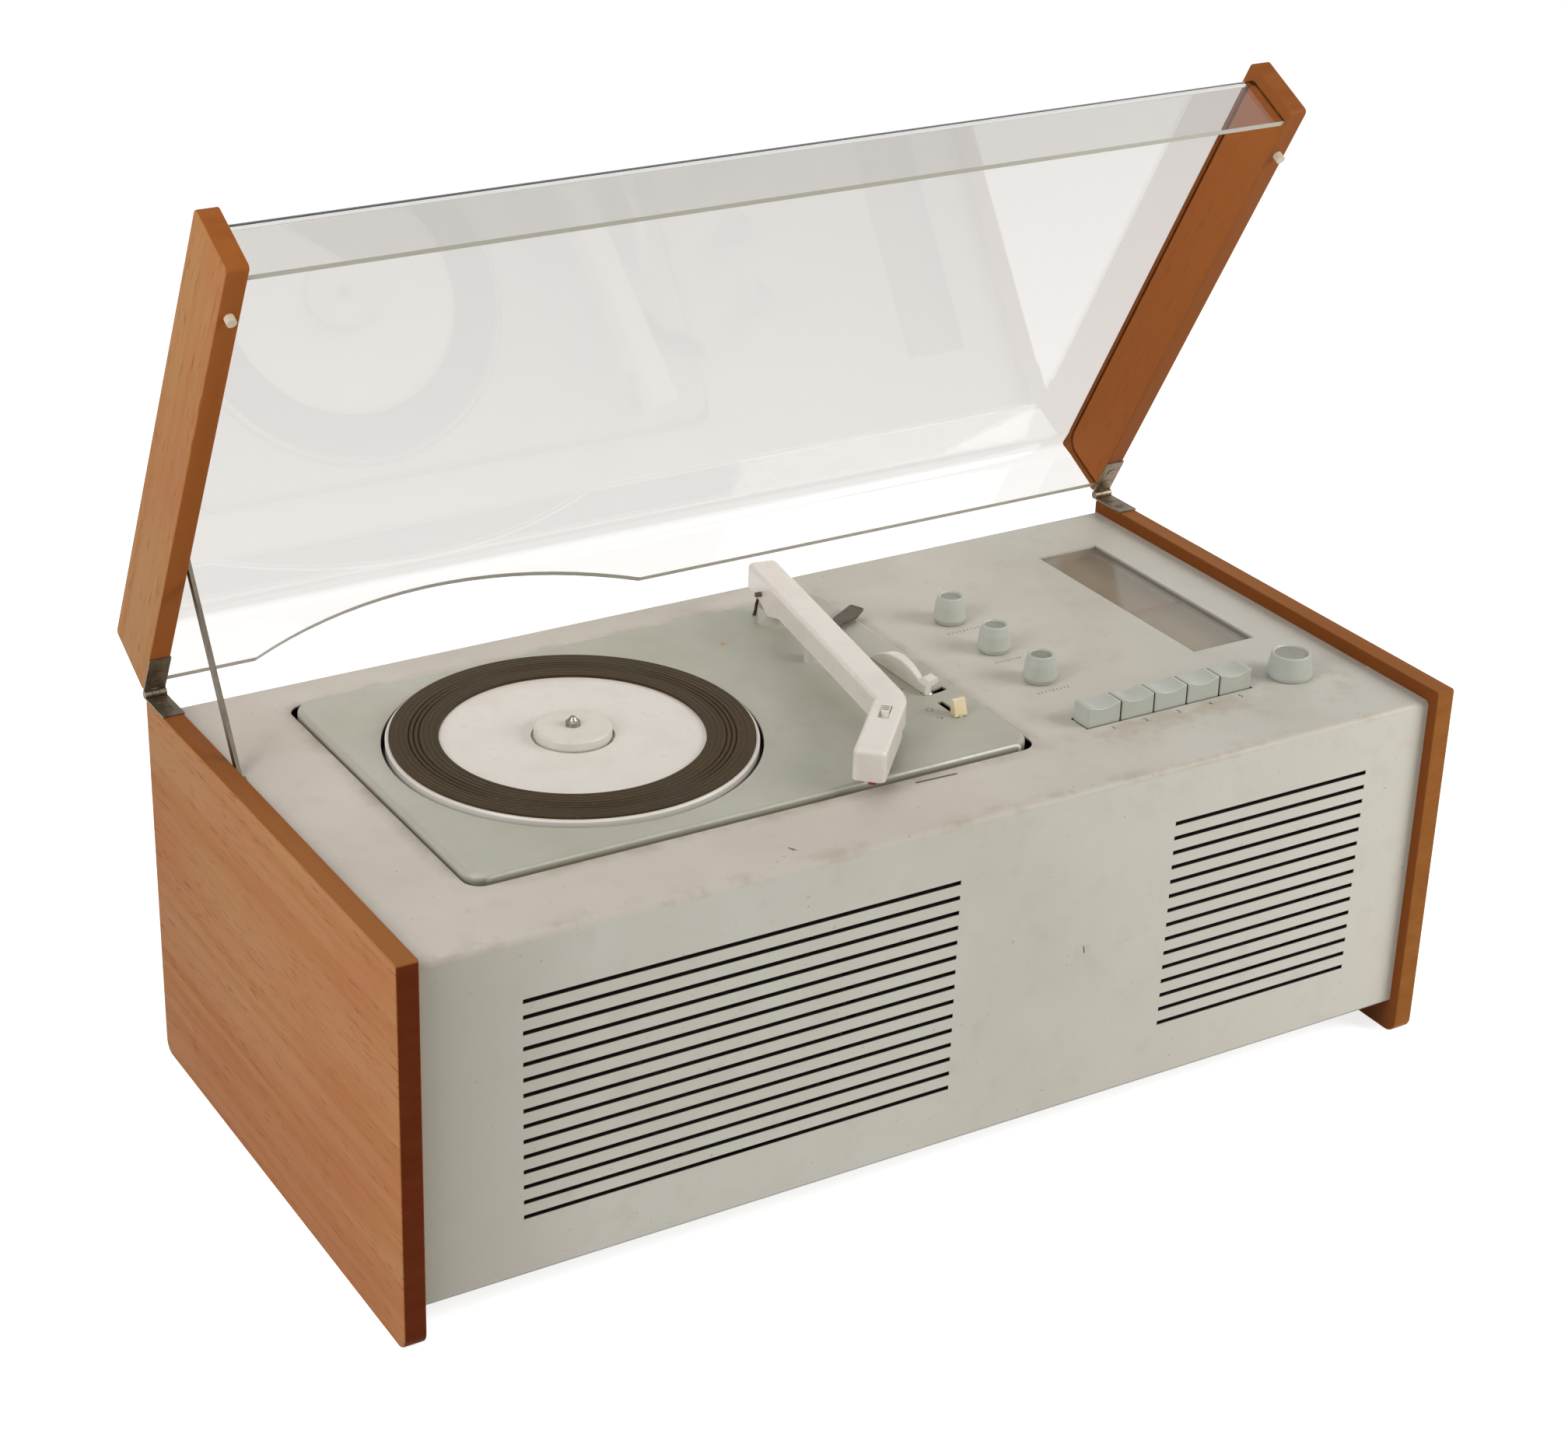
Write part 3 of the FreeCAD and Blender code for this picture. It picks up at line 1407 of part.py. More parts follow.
def key_switch():
    """Switch housing under the keys, hung from the cover, with a guide hole for each stem."""
    x0, x1 = keys_left - switch_margin, keys_left + key_count * key_pitch + switch_margin
    y0, y1 = keys_front - switch_margin, keys_front + key_depth + switch_margin
    z1 = cover_under - switch_below_cover
    z0 = z1 - switch_height
    shell = block(x0, x1, y0, y1, z0, z1)
    shell = shell.cut(block(x0 + switch_wall, x1 - switch_wall, y0 + switch_wall, y1 - switch_wall,
                            z0 + switch_wall, z1 - switch_wall))
    for strap_x in (x0, x1 - switch_wall):
        shell = shell.fuse(block(strap_x, strap_x + switch_wall, y0, y1, z0, cover_under))
    holes = []
    stem_y = keys_front + key_depth / 2
    for i in range(key_count):
        middle = keys_left + (i + 1 / 2) * key_pitch
        holes.append(block(middle - key_stem_width / 2 - stem_play,
                           middle + key_stem_width / 2 + stem_play,
                           stem_y - key_stem_depth / 2 - stem_play,
                           stem_y + key_stem_depth / 2 + stem_play,
                           z1 - switch_wall - cut_over, z1 + cut_over))
    return shell.removeSplitter().cut(holes)


# Dial

def dial_edges(margin):
    """Left, right, front and rear of the dial window, moved outward by a margin."""
    return (dial_left - margin, dial_left + dial_width + margin, dial_front - margin,
            dial_front + dial_length + margin)


def dial_glass():
    """Glass pane right under the window in the cover."""
    return block(*dial_edges(glass_lap), cover_under - glass_thickness, cover_under)


def dial_frame():
    """Tray that holds glass and scale, with a slot for the pointer's carriage."""
    low = cover_under - glass_thickness - dial_tray_depth
    tray = block(*dial_edges(glass_lap + dial_tray_wall), low - dial_tray_wall, cover_under)
    tray = tray.cut(block(*dial_edges(glass_lap + running_gap),
                          cover_under - glass_thickness, cover_under + cut_over))
    tray = tray.cut(block(*dial_edges(glass_lap - dial_tray_wall), low, cover_under))
    x0, x1, y0, y1 = dial_edges(glass_lap)
    z_middle = pointer_z() + pointer_thickness / 2
    return tray.cut(block(x1 - dial_tray_wall * 2, x1 + dial_tray_wall * 2,
                          y0 + dial_tray_wall, y1 - dial_tray_wall,
                          z_middle - pointer_slot_height / 2, z_middle + pointer_slot_height / 2))


def dial_scale():
    """Scale plate on the floor of the tray."""
    low = cover_under - glass_thickness - dial_tray_depth
    return block(*dial_edges(glass_lap - dial_tray_wall - running_gap), low, low + scale_thickness)


def pointer_z():
    """Lower face of the dial pointer."""
    return cover_under - glass_thickness - pointer_below_glass - pointer_thickness


def dial_pointer():
    """Pointer across the dial, with its carriage outside the tray."""
    z0 = pointer_z()
    x0, x1, y0, y1 = dial_edges(glass_lap)
    needle = block(x0 + dial_tray_wall + touch_gap, x1 + dial_tray_wall + pointer_carriage / 2,
                   pointer_y - pointer_width / 2, pointer_y + pointer_width / 2, z0,
                   z0 + pointer_thickness)
    carriage_x = x1 + dial_tray_wall + touch_gap
    carriage = block(carriage_x, carriage_x + pointer_carriage / 2, pointer_y - pointer_carriage / 2,
                     pointer_y + pointer_carriage / 2, z0 - pointer_thickness,
                     z0 + pointer_thickness * 2)
    return fuse_all([needle, carriage])


# Radio chassis

def tuner_chassis():
    """Folded chassis tray that stands on the base plate."""
    z0 = cover_ground_gap + sheet + base_thickness
    z1 = z0 + chassis_height
    outer = block(chassis_left, chassis_right, chassis_front, chassis_rear, z0, z1)
    inner = block(chassis_left + chassis_sheet, chassis_right - chassis_sheet,
                  chassis_front + chassis_sheet, chassis_rear - chassis_sheet, z0 - cut_over,
                  z1 - chassis_sheet)
    return outer.cut(inner)


def chassis_top():
    """Upper face of the radio chassis."""
    return cover_ground_gap + sheet + base_thickness + chassis_height


def row_places(count, pitch):
    """Evenly spaced x positions about the chassis's middle."""
    middle = (chassis_left + chassis_right) / 2
    return [middle + (i - (count - 1) / 2) * pitch for i in range(count)]


def valves():
    """Valves in their sockets."""
    z0 = chassis_top()
    shoulder = z0 + valve_height - valve_radius
    profile = [(0, z0), (valve_radius - sheet, z0), (valve_radius - sheet, z0 + valve_base_height),
               (valve_radius, z0 + valve_base_height), (valve_radius, shoulder),
               (valve_tip_radius, z0 + valve_height), (0, z0 + valve_height)]
    return Part.makeCompound([turned(profile, x, valve_row_y)
                              for x in row_places(valve_columns, valve_pitch)])


def transformers():
    """Mains transformer with its coil, and the shielding cans of the coils."""
    z0 = chassis_top()
    x, y = transformer_x, transformer_y
    core = block(x - transformer_width / 2, x + transformer_width / 2, y - transformer_depth / 2,
                 y + transformer_depth / 2, z0, z0 + transformer_height)
    coil_half = transformer_width / 2 - coil_overhang
    coil = block(x - coil_half, x + coil_half, y - transformer_depth / 2 - coil_overhang,
                 y + transformer_depth / 2 + coil_overhang, z0 + coil_overhang,
                 z0 + transformer_height - coil_overhang)
    cans = [block(can_x - can_width / 2, can_x + can_width / 2, can_row_y - can_width / 2,
                  can_row_y + can_width / 2, z0, z0 + can_height)
            for can_x in row_places(can_columns, can_pitch)]
    return Part.makeCompound([fuse_all([core, coil])] + cans)


def tuning_capacitor():
    """Tuning capacitor with its cord drum."""
    z0 = chassis_top()
    frame = block(tuner_x - tuner_width / 2, tuner_x + tuner_width / 2, tuner_y - tuner_depth / 2,
                  tuner_y + tuner_depth / 2, z0, z0 + tuner_height)
    drum_y = tuner_y - tuner_depth / 2
    drum_z = z0 + tuner_height - tuner_drum_radius / 2
    drum = rod(tuner_drum_radius, V(tuner_x, drum_y, drum_z),
               V(tuner_x, drum_y - tuner_drum_thickness, drum_z))
    return fuse_all([frame, drum])


# Lid, drawn shut and then opened

def lid_cheek():
    """Left wooden cheek with rounded corners, the pane's groove and the bores of its fittings."""
    x0 = -half_width
    corners = [lid_point(0, 0), lid_point(lid_depth, 0), lid_point(lid_depth, cheek_height),
               lid_point(0, cheek_height)]
    points = [corner + V(x0, 0, 0) for corner in corners]
    cheek = prism(points, [cheek_corner_radius] * len(points), V(panel_thickness, 0, 0))
    cheek = softened(cheek, x0, x0 + panel_thickness)
    groove = pane_profile(groove_gap, -inner_x - pane_groove - groove_gap,
                          pane_groove + groove_gap + cut_over)
    cutters = [groove]
    for x, y in upper_hinge_screw_places():
        cutters.append(post(hinge_screw_radius, x, y, lid_base - cut_over,
                            lid_base + hinge_screw_length))
    stud = lid_point(stay_along, stay_up)
    cutters.append(rod(stay_stud_radius + running_gap, stud + V(-inner_x - stay_stud_depth, 0, 0),
                       stud + V(-inner_x + cut_over, 0, 0)))
    seat = buffer_place()
    cutters.append(post(buffer_stud_radius, seat.x, seat.y, lid_base - cut_over,
                        lid_base + buffer_seat))
    return opened(cheek.cut(cutters))


def pane_profile(gap, x0, length):
    """Bent pane seen from the side, grown by a gap, swept across the lid."""
    top = cheek_height - pane_below_top
    corners = [lid_point(pane_rear - gap, pane_rear_edge - gap),
               lid_point(pane_rear - gap, top + gap), lid_point(pane_front + gap, top + gap),
               lid_point(pane_front + gap, pane_front_edge - gap)]
    path = [V(corner.y, corner.z, 0) for corner in corners]
    bends = [0, pane_rear_bend, pane_front_bend, 0]
    outline, radii = bent_outline(path, bends, pane_thickness + gap * 2)
    points = [V(x0, point.x, point.y) for point in outline]
    return prism(points, radii, V(length, 0, 0))


def lid_pane():
    """Clear pane bent down at front and rear, with an arc notch at the rear for large records."""
    reach = inner_x + pane_groove
    pane = pane_profile(0, -reach, reach * 2)
    notch_radius = (notch_width ** 2 / 4 + notch_rise ** 2) / (notch_rise * 2)
    below = lid_point(0, pane_rear_edge + notch_rise - notch_radius)
    start = below + V(notch_x, cut_over, 0)
    end = start + V(0, -pane_rear - pane_thickness - cut_over * 2, 0)
    return opened(pane.cut(rod(notch_radius, start, end)))


def buffer_place():
    """Axis of the left buffer under the cheek."""
    return lid_point(buffer_along, 0) + V(-half_width + panel_thickness / 2, 0, 0)


def lid_buffers():
    """Rubber buffers with studs in the cheeks' lower faces."""
    place = buffer_place()
    profile = [(0, lid_base - lid_gap + touch_gap), (buffer_radius, lid_base - lid_gap + touch_gap),
               (buffer_radius, lid_base), (buffer_stud_radius - running_gap, lid_base),
               (buffer_stud_radius - running_gap, lid_base + buffer_seat - part_gap),
               (0, lid_base + buffer_seat - part_gap)]
    left = opened(turned(profile, place.x, place.y))
    return Part.makeCompound([left, mirrored(left)])


def knuckle_ends():
    """x positions that part the hinge barrel into three knuckles, on the left."""
    knuckle = panel_thickness / knuckle_count
    return [-half_width + knuckle * i for i in range(knuckle_count + 1)]


def hinge_rod(radius, x0, x1):
    """Cylinder on the hinge axis."""
    return rod(radius, V(x0, hinge_y, hinge_z), V(x1, hinge_y, hinge_z))


def hinge_leaf_piece(z0, z1, own, other):
    """Leaf with its own knuckles, cleared round the other leaf's knuckles, bored for the pin."""
    x0, x1 = -half_width, -inner_x
    leaf = block(x0, x1, hinge_y - hinge_leaf_length, hinge_y, z0, z1)
    leaf = leaf.cut([hinge_rod(hinge_barrel_radius + touch_gap, a - barrel_knuckle_gap / 2,
                               b + barrel_knuckle_gap / 2) for a, b in other])
    barrels = [hinge_rod(hinge_barrel_radius, a + (barrel_knuckle_gap / 2 if a > x0 else 0),
                         b - (barrel_knuckle_gap / 2 if b < x1 else 0)) for a, b in own]
    piece = fuse_all([leaf] + barrels)
    return piece.cut(hinge_rod(hinge_pin_radius + running_gap, x0 - cut_over, x1 + cut_over))


def bored_for_screws(leaf, places, z0, z1):
    """Leaf with a plain hole for each screw."""
    return leaf.cut([post(hinge_screw_radius, x, y, z0 - cut_over, z1 + cut_over)
                     for x, y in places])


def hinge_leaves_lower():
    """Hinge leaves on the side panels' top faces, each with the middle knuckle."""
    a, b, c, d = knuckle_ends()
    z0, z1 = panel_height, panel_height + hinge_leaf
    leaf = hinge_leaf_piece(z0, z1, [(b, c)], [(a, b), (c, d)])
    leaf = bored_for_screws(leaf, lower_hinge_screw_places(), z0, z1)
    return Part.makeCompound([leaf, mirrored(leaf)])


def hinge_leaves_upper():
    """Hinge leaves under the lid's cheeks, each with the outer knuckles."""
    a, b, c, d = knuckle_ends()
    z0, z1 = lid_base - hinge_leaf, lid_base
    leaf = hinge_leaf_piece(z0, z1, [(a, b), (c, d)], [(b, c)])
    leaf = opened(bored_for_screws(leaf, upper_hinge_screw_places(), z0, z1))
    return Part.makeCompound([leaf, mirrored(leaf)])


def hinge_pins():
    """Pins through the hinge barrels."""
    pin = hinge_rod(hinge_pin_radius, -half_width, -inner_x)
    return Part.makeCompound([pin, mirrored(pin)])


def lower_hinge_screw_places():
    """Screws of the left lower hinge leaf."""
    x = -half_width + panel_thickness / 2
    return [(x, hinge_y - hinge_screw_first - i * hinge_screw_pitch) for i in range(2)]


def upper_hinge_screw_places():
    """Screws of the left upper hinge leaf, at the same places while the lid is shut."""
    return lower_hinge_screw_places()


def wood_screw(x, y, face, direction):
    """Slotted screw: head on a face, shank towards the given direction."""
    head_end = face - direction * hinge_screw_head_rise
    shank_end = face + direction * (hinge_screw_length - part_gap)
    head = rod(hinge_screw_head_radius, V(x, y, head_end), V(x, y, face))
    shank = rod(hinge_screw_radius - running_gap, V(x, y, face), V(x, y, shank_end))
    screw = head.fuse(shank)
    slot_low, slot_high = sorted((head_end - direction * cut_over,
                                  head_end + direction * hinge_screw_head_rise / 2))
    return screw.cut(block(x - hinge_screw_head_radius - cut_over,
                           x + hinge_screw_head_radius + cut_over,
                           y - screw_slot / 2, y + screw_slot / 2, slot_low, slot_high))


def hinge_screws_lower():
    """Screws down through the lower leaves."""
    screws = [wood_screw(x, y, panel_height + hinge_leaf, -1)
              for x, y in lower_hinge_screw_places()]
    return Part.makeCompound(screws + [mirrored(screw) for screw in screws])


def hinge_screws_upper():
    """Screws up through the upper leaves."""
    screws = [opened(wood_screw(x, y, lid_base - hinge_leaf, 1))
              for x, y in upper_hinge_screw_places()]
    return Part.makeCompound(screws + [mirrored(screw) for screw in screws])


# Lid stay

def stay_frame():
    """Pivot of the stay on the opened lid, and unit vectors along the bar and across it."""
    pivot = opened(Part.Vertex(lid_point(stay_along, stay_up))).Point
    guide = V(0, stay_guide_y, stay_guide_z)
    along = guide - pivot
    along.normalize()
    return pivot, guide, along, V(0, -along.z, along.y)


def stay_faces():
    """Outer and inner face of the stay bar."""
    x0 = -inner_x + guide_plate + stay_side_gap
    return x0, x0 + stay_thickness


def flat_bar(start, end, across, half, radius):
    """Flat bar between two points in the stay's plane."""
    x0, x1 = stay_faces()
    points = [start + across * half, end + across * half, end - across * half, start - across * half]
    return prism([V(x0, p.y, p.z) for p in points], [radius] * len(points), V(x1 - x0, 0, 0))


def stay():
    """Stay bar with its pivot stud at the top and a stop below the guide."""
    pivot, guide, along, across = stay_frame()
    half = stay_width / 2
    bar = flat_bar(pivot - along * stay_width, guide + along * stay_tail, across, half,
                   half - running_gap)
    stop = flat_bar(guide + along * stay_stop_start,
                    guide + along * (stay_stop_start + stay_stop_length), across, stay_stop_half,
                    stay_stop_length / 4)
    stud = rod(stay_stud_radius, pivot + V(-inner_x - stay_stud_depth + part_gap, 0, 0),
               pivot + V(stay_faces()[1], 0, 0))
    return fuse_all([bar, stop, stud])


def stay_guide():
    """Plate on the left panel with two pins between which the stay slides."""
    x0 = -inner_x
    x1 = x0 + guide_plate
    sheet_part = block(x0, x1, stay_guide_y - guide_half_length, stay_guide_y + guide_half_length,
                       stay_guide_z - guide_below, stay_guide_z + guide_above)
    angle = math.radians(guide_lean)
    spread = (stay_width / 2 + guide_pin_radius + guide_play) / math.cos(angle)
    parts = [sheet_part]
    for side in (-1, 1):
        y = stay_guide_y + side * spread * math.cos(angle)
        z = stay_guide_z - side * spread * math.sin(angle)
        parts.append(rod(guide_pin_radius, V(x1, y, z), V(stay_faces()[1] + part_gap, y, z)))
    return fuse_all(parts)


def knob_places():
    """Centres of the three small knobs, rear one first."""
    return [(knob_column_x, knob_rear_y - i * knob_pitch) for i in range(knob_count)]


def export(shape, name):
    """Write one sub-part, moved so that the origin lies under the middle of the open part."""
    placed = shape.copy()
    placed.translate(V(0, -middle_y, 0))
    placed.exportStep("parts/%s.step" % name)


os.makedirs("parts", exist_ok=True)
cheek = lid_cheek()
middle_y = (panel_front + cheek.optimalBoundingBox(False, False).YMax) / 2
makers = [cover, base_plate, rear_panel, panel_screws, rear_sockets, speaker_baffle,
          speaker_frames, speaker_magnets, speaker_cones, deck_plate, deck_mounts,
          platter_bearing, platter, platter_mat, spindle, centre_adapter, idler_wheel,
          motor_pulley, motor, tonearm, stylus_selector, cartridge, arm_bracket, arm_base,
          arm_rest, speed_lever, start_slider, auto_stop_lever, potentiometers, key_switch,
          dial_glass, dial_frame, dial_scale, dial_pointer, tuner_chassis, valves, transformers,
          tuning_capacitor, lid_pane, lid_buffers, hinge_leaves_lower, hinge_leaves_upper,
          hinge_pins, hinge_screws_lower, hinge_screws_upper, stay, stay_guide]
for maker in makers:
    export(maker(), maker.__name__)
export(side_panel(), "side_panel_left")
export(mirrored(side_panel()), "side_panel_right")
export(cheek, "lid_cheek_left")
export(mirrored(cheek), "lid_cheek_right")
for index, name in enumerate(("knob_tone", "knob_balance", "knob_volume")):
    export(small_knob(index), name)
export(tuning_knob(), "knob_tuning")
for index in range(key_count):
    export(key(index), "key_%d" % (index + 1))
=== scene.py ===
import bpy
import bmesh
import math
from mathutils import Matrix, Vector


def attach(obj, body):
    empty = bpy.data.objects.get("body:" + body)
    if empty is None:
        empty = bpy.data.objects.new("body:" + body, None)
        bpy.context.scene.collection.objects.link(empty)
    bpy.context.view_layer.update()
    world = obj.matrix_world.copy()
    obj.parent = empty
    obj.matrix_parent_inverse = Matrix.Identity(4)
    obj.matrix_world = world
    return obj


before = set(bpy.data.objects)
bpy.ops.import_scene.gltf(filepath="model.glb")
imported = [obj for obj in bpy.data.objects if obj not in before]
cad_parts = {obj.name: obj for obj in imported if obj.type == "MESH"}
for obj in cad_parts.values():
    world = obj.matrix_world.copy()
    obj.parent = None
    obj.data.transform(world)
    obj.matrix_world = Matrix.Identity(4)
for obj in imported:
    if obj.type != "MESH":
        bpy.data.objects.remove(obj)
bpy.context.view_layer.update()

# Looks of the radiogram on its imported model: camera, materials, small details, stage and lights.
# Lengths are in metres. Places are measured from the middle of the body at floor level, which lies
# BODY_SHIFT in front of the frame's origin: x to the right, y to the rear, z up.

# ---- Places on the body

BODY_SHIFT = 0.0181146
HALF_WIDTH, INNER_FACE, PANEL_TOP = 0.2915, 0.2804, 0.1994
COVER_FRONT, COVER_TOP, COVER_BEND = -0.1385, 0.1925, 0.003
DECK_MIDDLE, DECK_HALF, DECK_TOP = (-0.0765, 0.0144), (0.1517, 0.1020), 0.196
PLATTER_MIDDLE = (-0.123, 0.017)
KEYS_MIDDLE, KEYS_HALF = (0.1597, -0.07785), (0.0508, 0.00615)
LID_HINGE, LID_TURN = (0.0, 0.1458, 0.2015), math.radians(61.7)

# ---- Camera

IMAGE_WIDTH, IMAGE_HEIGHT = 2016, 1839
SENSOR_WIDTH = 36.0
FOCAL_PIXELS = 4075.3
AXIS_PIXEL = (900.58, 890.82)
CAMERA_PLACE = Vector((-0.761508, -1.19365 - BODY_SHIFT, 0.875307))
AZIMUTH, ELEVATION, ROLL = math.radians(-30.361), math.radians(25.545), math.radians(1.251)
CLIP_NEAR, CLIP_FAR = 0.05, 30.0


def make_camera():
    """Camera solved from the object's known width."""
    back = Vector((math.sin(AZIMUTH) * math.cos(ELEVATION), -math.cos(AZIMUTH) * math.cos(ELEVATION),
                   math.sin(ELEVATION)))
    right = Vector((0, 0, 1)).cross(back).normalized()
    up = back.cross(right)
    rolled_right = right * math.cos(ROLL) + up * math.sin(ROLL)
    rolled_up = up * math.cos(ROLL) - right * math.sin(ROLL)
    data = bpy.data.cameras.new("camera")
    data.sensor_width = SENSOR_WIDTH
    data.lens = FOCAL_PIXELS * SENSOR_WIDTH / IMAGE_WIDTH
    data.shift_x = (IMAGE_WIDTH / 2 - AXIS_PIXEL[0]) / IMAGE_WIDTH
    data.shift_y = (AXIS_PIXEL[1] - IMAGE_HEIGHT / 2) / IMAGE_WIDTH
    data.clip_start, data.clip_end = CLIP_NEAR, CLIP_FAR
    camera = bpy.data.objects.new("camera", data)
    turn = Matrix((rolled_right, rolled_up, back)).transposed().to_4x4()
    camera.matrix_world = Matrix.Translation(CAMERA_PLACE) @ turn
    bpy.context.scene.collection.objects.link(camera)
    bpy.context.scene.camera = camera


# ---- Colours and the material builder

def srgb(red, green, blue):
    """Screen colour, 0 to 255, to scene-linear by the standard sRGB curve."""
    values = []
    for part in (red, green, blue):
        share = part / 255
        values.append(share / 12.92 if share <= 0.04045 else ((share + 0.055) / 1.055) ** 2.4)
    return (*values, 1.0)


def shade(color, factor):
    """The same colour, darker or lighter."""
    return tuple(part * factor for part in color[:3]) + (1.0,)


NOISE_ROUGHNESS = 0.55
NOISE_RANGE = (0.3, 0.7)
STROKE_CORE = 0.4


class Paint:
    """A material with short ways to add nodes. Masks run from 0 to 1."""

    def __init__(self, name, color, roughness, **settings):
        self.material = bpy.data.materials.new(name)
        self.material.use_nodes = True
        self.tree = self.material.node_tree
        self.shader = self.tree.nodes["Principled BSDF"]
        self.output = self.tree.nodes["Material Output"]
        self.shader.inputs["Base Color"].default_value = color
        self.shader.inputs["Roughness"].default_value = roughness
        for key, value in settings.items():
            self.shader.inputs[key.replace("_", " ")].default_value = value
        self.place = self.vector("ADD", self.add("ShaderNodeTexCoord").outputs["Object"], (0, BODY_SHIFT, 0))

    def add(self, kind, **settings):
        """New node with its settings."""
        node = self.tree.nodes.new(kind)
        for key, value in settings.items():
            setattr(node, key, value)
        return node

    def feed(self, value, socket):
        """Link a node's output to a socket, or set the socket to a plain value."""
        if isinstance(value, bpy.types.NodeSocket):
            self.tree.links.new(value, socket)
        elif value is not None:
            socket.default_value = value

    def math(self, operation, a, b=None, clamp=False):
        node = self.add("ShaderNodeMath", operation=operation, use_clamp=clamp)
        self.feed(a, node.inputs[0])
        self.feed(b, node.inputs[1])
        return node.outputs[0]

    def product(self, *values):
        """Product of numbers and masks."""
        result = values[0]
        for value in values[1:]:
            result = self.math("MULTIPLY", result, value)
        return result

    def vector(self, operation, a, b=None):
        node = self.add("ShaderNodeVectorMath", operation=operation)
        self.feed(a, node.inputs[0])
        self.feed(b, node.inputs[1])
        return node.outputs["Value"] if operation in ("LENGTH", "DOT_PRODUCT") else node.outputs[0]

    def axis(self, index, source=None):
        """One coordinate of a vector, of the place on the body if no other is given."""
        node = self.add("ShaderNodeSeparateXYZ")
        self.feed(source or self.place, node.inputs[0])
        return node.outputs[index]

    def axes(self):
        """x, y and z of the place on the body."""
        node = self.add("ShaderNodeSeparateXYZ")
        self.feed(self.place, node.inputs[0])
        return tuple(node.outputs)

    def normal(self):
        """The surface's direction, on the body at rest."""
        return self.add("ShaderNodeTexCoord").outputs["Normal"]

    def stretched(self, scale, turn=(0, 0, 0), source=None):
        """Coordinates turned about the axes and scaled along them."""
        node = self.add("ShaderNodeMapping")
        self.feed(source or self.place, node.inputs["Vector"])
        node.inputs["Rotation"].default_value = turn
        node.inputs["Scale"].default_value = scale
        return node.outputs[0]

    def noise(self, scale, detail, roughness=NOISE_ROUGHNESS, source=None):
        node = self.add("ShaderNodeTexNoise")
        self.feed(source or self.place, node.inputs["Vector"])
        node.inputs["Scale"].default_value = scale
        node.inputs["Detail"].default_value = detail
        node.inputs["Roughness"].default_value = roughness
        return node.outputs["Fac"]

    def span(self, value, low, high, to_low, to_high):
        """Even change from one number to another while a value runs from low to high, held outside."""
        node = self.add("ShaderNodeMapRange", clamp=True)
        for item, key in ((value, "Value"), (low, "From Min"), (high, "From Max"),
                          (to_low, "To Min"), (to_high, "To Max")):
            self.feed(item, node.inputs[key])
        return node.outputs[0]

    def rise(self, value, low, high, amount=1.0):
        """0 at low, the amount at high; low may be the larger number."""
        return self.span(value, low, high, 0.0, amount)

    def fall(self, value, low, high):
        """1 at low, 0 at high."""
        return self.span(value, low, high, 1.0, 0.0)

    def mix(self, factor, a, b, blend="MIX"):
        node = self.add("ShaderNodeMix", data_type="RGBA", blend_type=blend)
        self.feed(factor, node.inputs["Factor"])
        self.feed(a, node.inputs["A"])
        self.feed(b, node.inputs["B"])
        return node.outputs["Result"]

    def lay(self, tone, color, *masks):
        """Colour over a tone, as far as the product of the masks."""
        return self.mix(self.product(*masks), tone, color)

    def distance(self, centre):
        """Distance from a point."""
        return self.vector("LENGTH", self.vector("SUBTRACT", self.place, centre))

    def segment(self, start, end, width):
        """Mask of a thin stroke between two points, for scratches and chips."""
        direction = Vector(end) - Vector(start)
        offset = self.vector("SUBTRACT", self.place, start)
        along = self.math("DIVIDE", self.vector("DOT_PRODUCT", offset, tuple(direction)),
                          direction.length_squared, clamp=True)
        node = self.add("ShaderNodeVectorMath", operation="SCALE")
        node.inputs[0].default_value = tuple(direction)
        self.feed(along, node.inputs["Scale"])
        apart = self.vector("LENGTH", self.vector("SUBTRACT", offset, node.outputs[0]))
        return self.fall(apart, width * STROKE_CORE, width)

    def strokes(self, marks):
        """Mask of several thin strokes."""
        masks = [self.segment(*mark) for mark in marks]
        result = masks[0]
        for mask in masks[1:]:
            result = self.math("MAXIMUM", result, mask)
        return result

    def beside(self, middle, half):
        """Distance outside a rectangle on a level plane, negative inside it."""
        x = self.math("ABSOLUTE", self.math("SUBTRACT", self.axis(0), middle[0]))
        y = self.math("ABSOLUTE", self.math("SUBTRACT", self.axis(1), middle[1]))
        return self.math("MAXIMUM", self.math("SUBTRACT", x, half[0]), self.math("SUBTRACT", y, half[1]))

    def color(self, value):
        self.feed(value, self.shader.inputs["Base Color"])

    def rough(self, value):
        self.feed(value, self.shader.inputs["Roughness"])

    def uneven(self, noise, low, high):
        """Roughness between two numbers, after a noise."""
        self.rough(self.span(noise, *NOISE_RANGE, low, high))

    def bump(self, height, strength, distance):
        node = self.add("ShaderNodeBump")
        node.inputs["Strength"].default_value = strength
        node.inputs["Distance"].default_value = distance
        self.feed(height, node.inputs["Height"])
        self.feed(node.outputs[0], self.shader.inputs["Normal"])


# ---- Wood

PANEL_TONES = {
    "warm": srgb(176, 123, 72), "rosy": srgb(173, 109, 60), "dash": srgb(138, 72, 32),
    # top_cheek_shade is painted shade on the left panel's top, under the lid cheek
    "inner": srgb(126, 70, 30), "top": srgb(150, 94, 48), "top_cheek_shade": srgb(140, 84, 42),
    "front_left": srgb(96, 38, 4), "front_right": srgb(150, 94, 42)}
CHEEK_TONES = {
    "warm": srgb(178, 127, 75), "rosy": srgb(175, 113, 63), "dash": srgb(138, 74, 34),
    "inner": srgb(166, 97, 48), "front_left": srgb(158, 92, 42), "front_right": srgb(150, 88, 42)}
CHEEK_GRAIN_SHIFT = 0.3
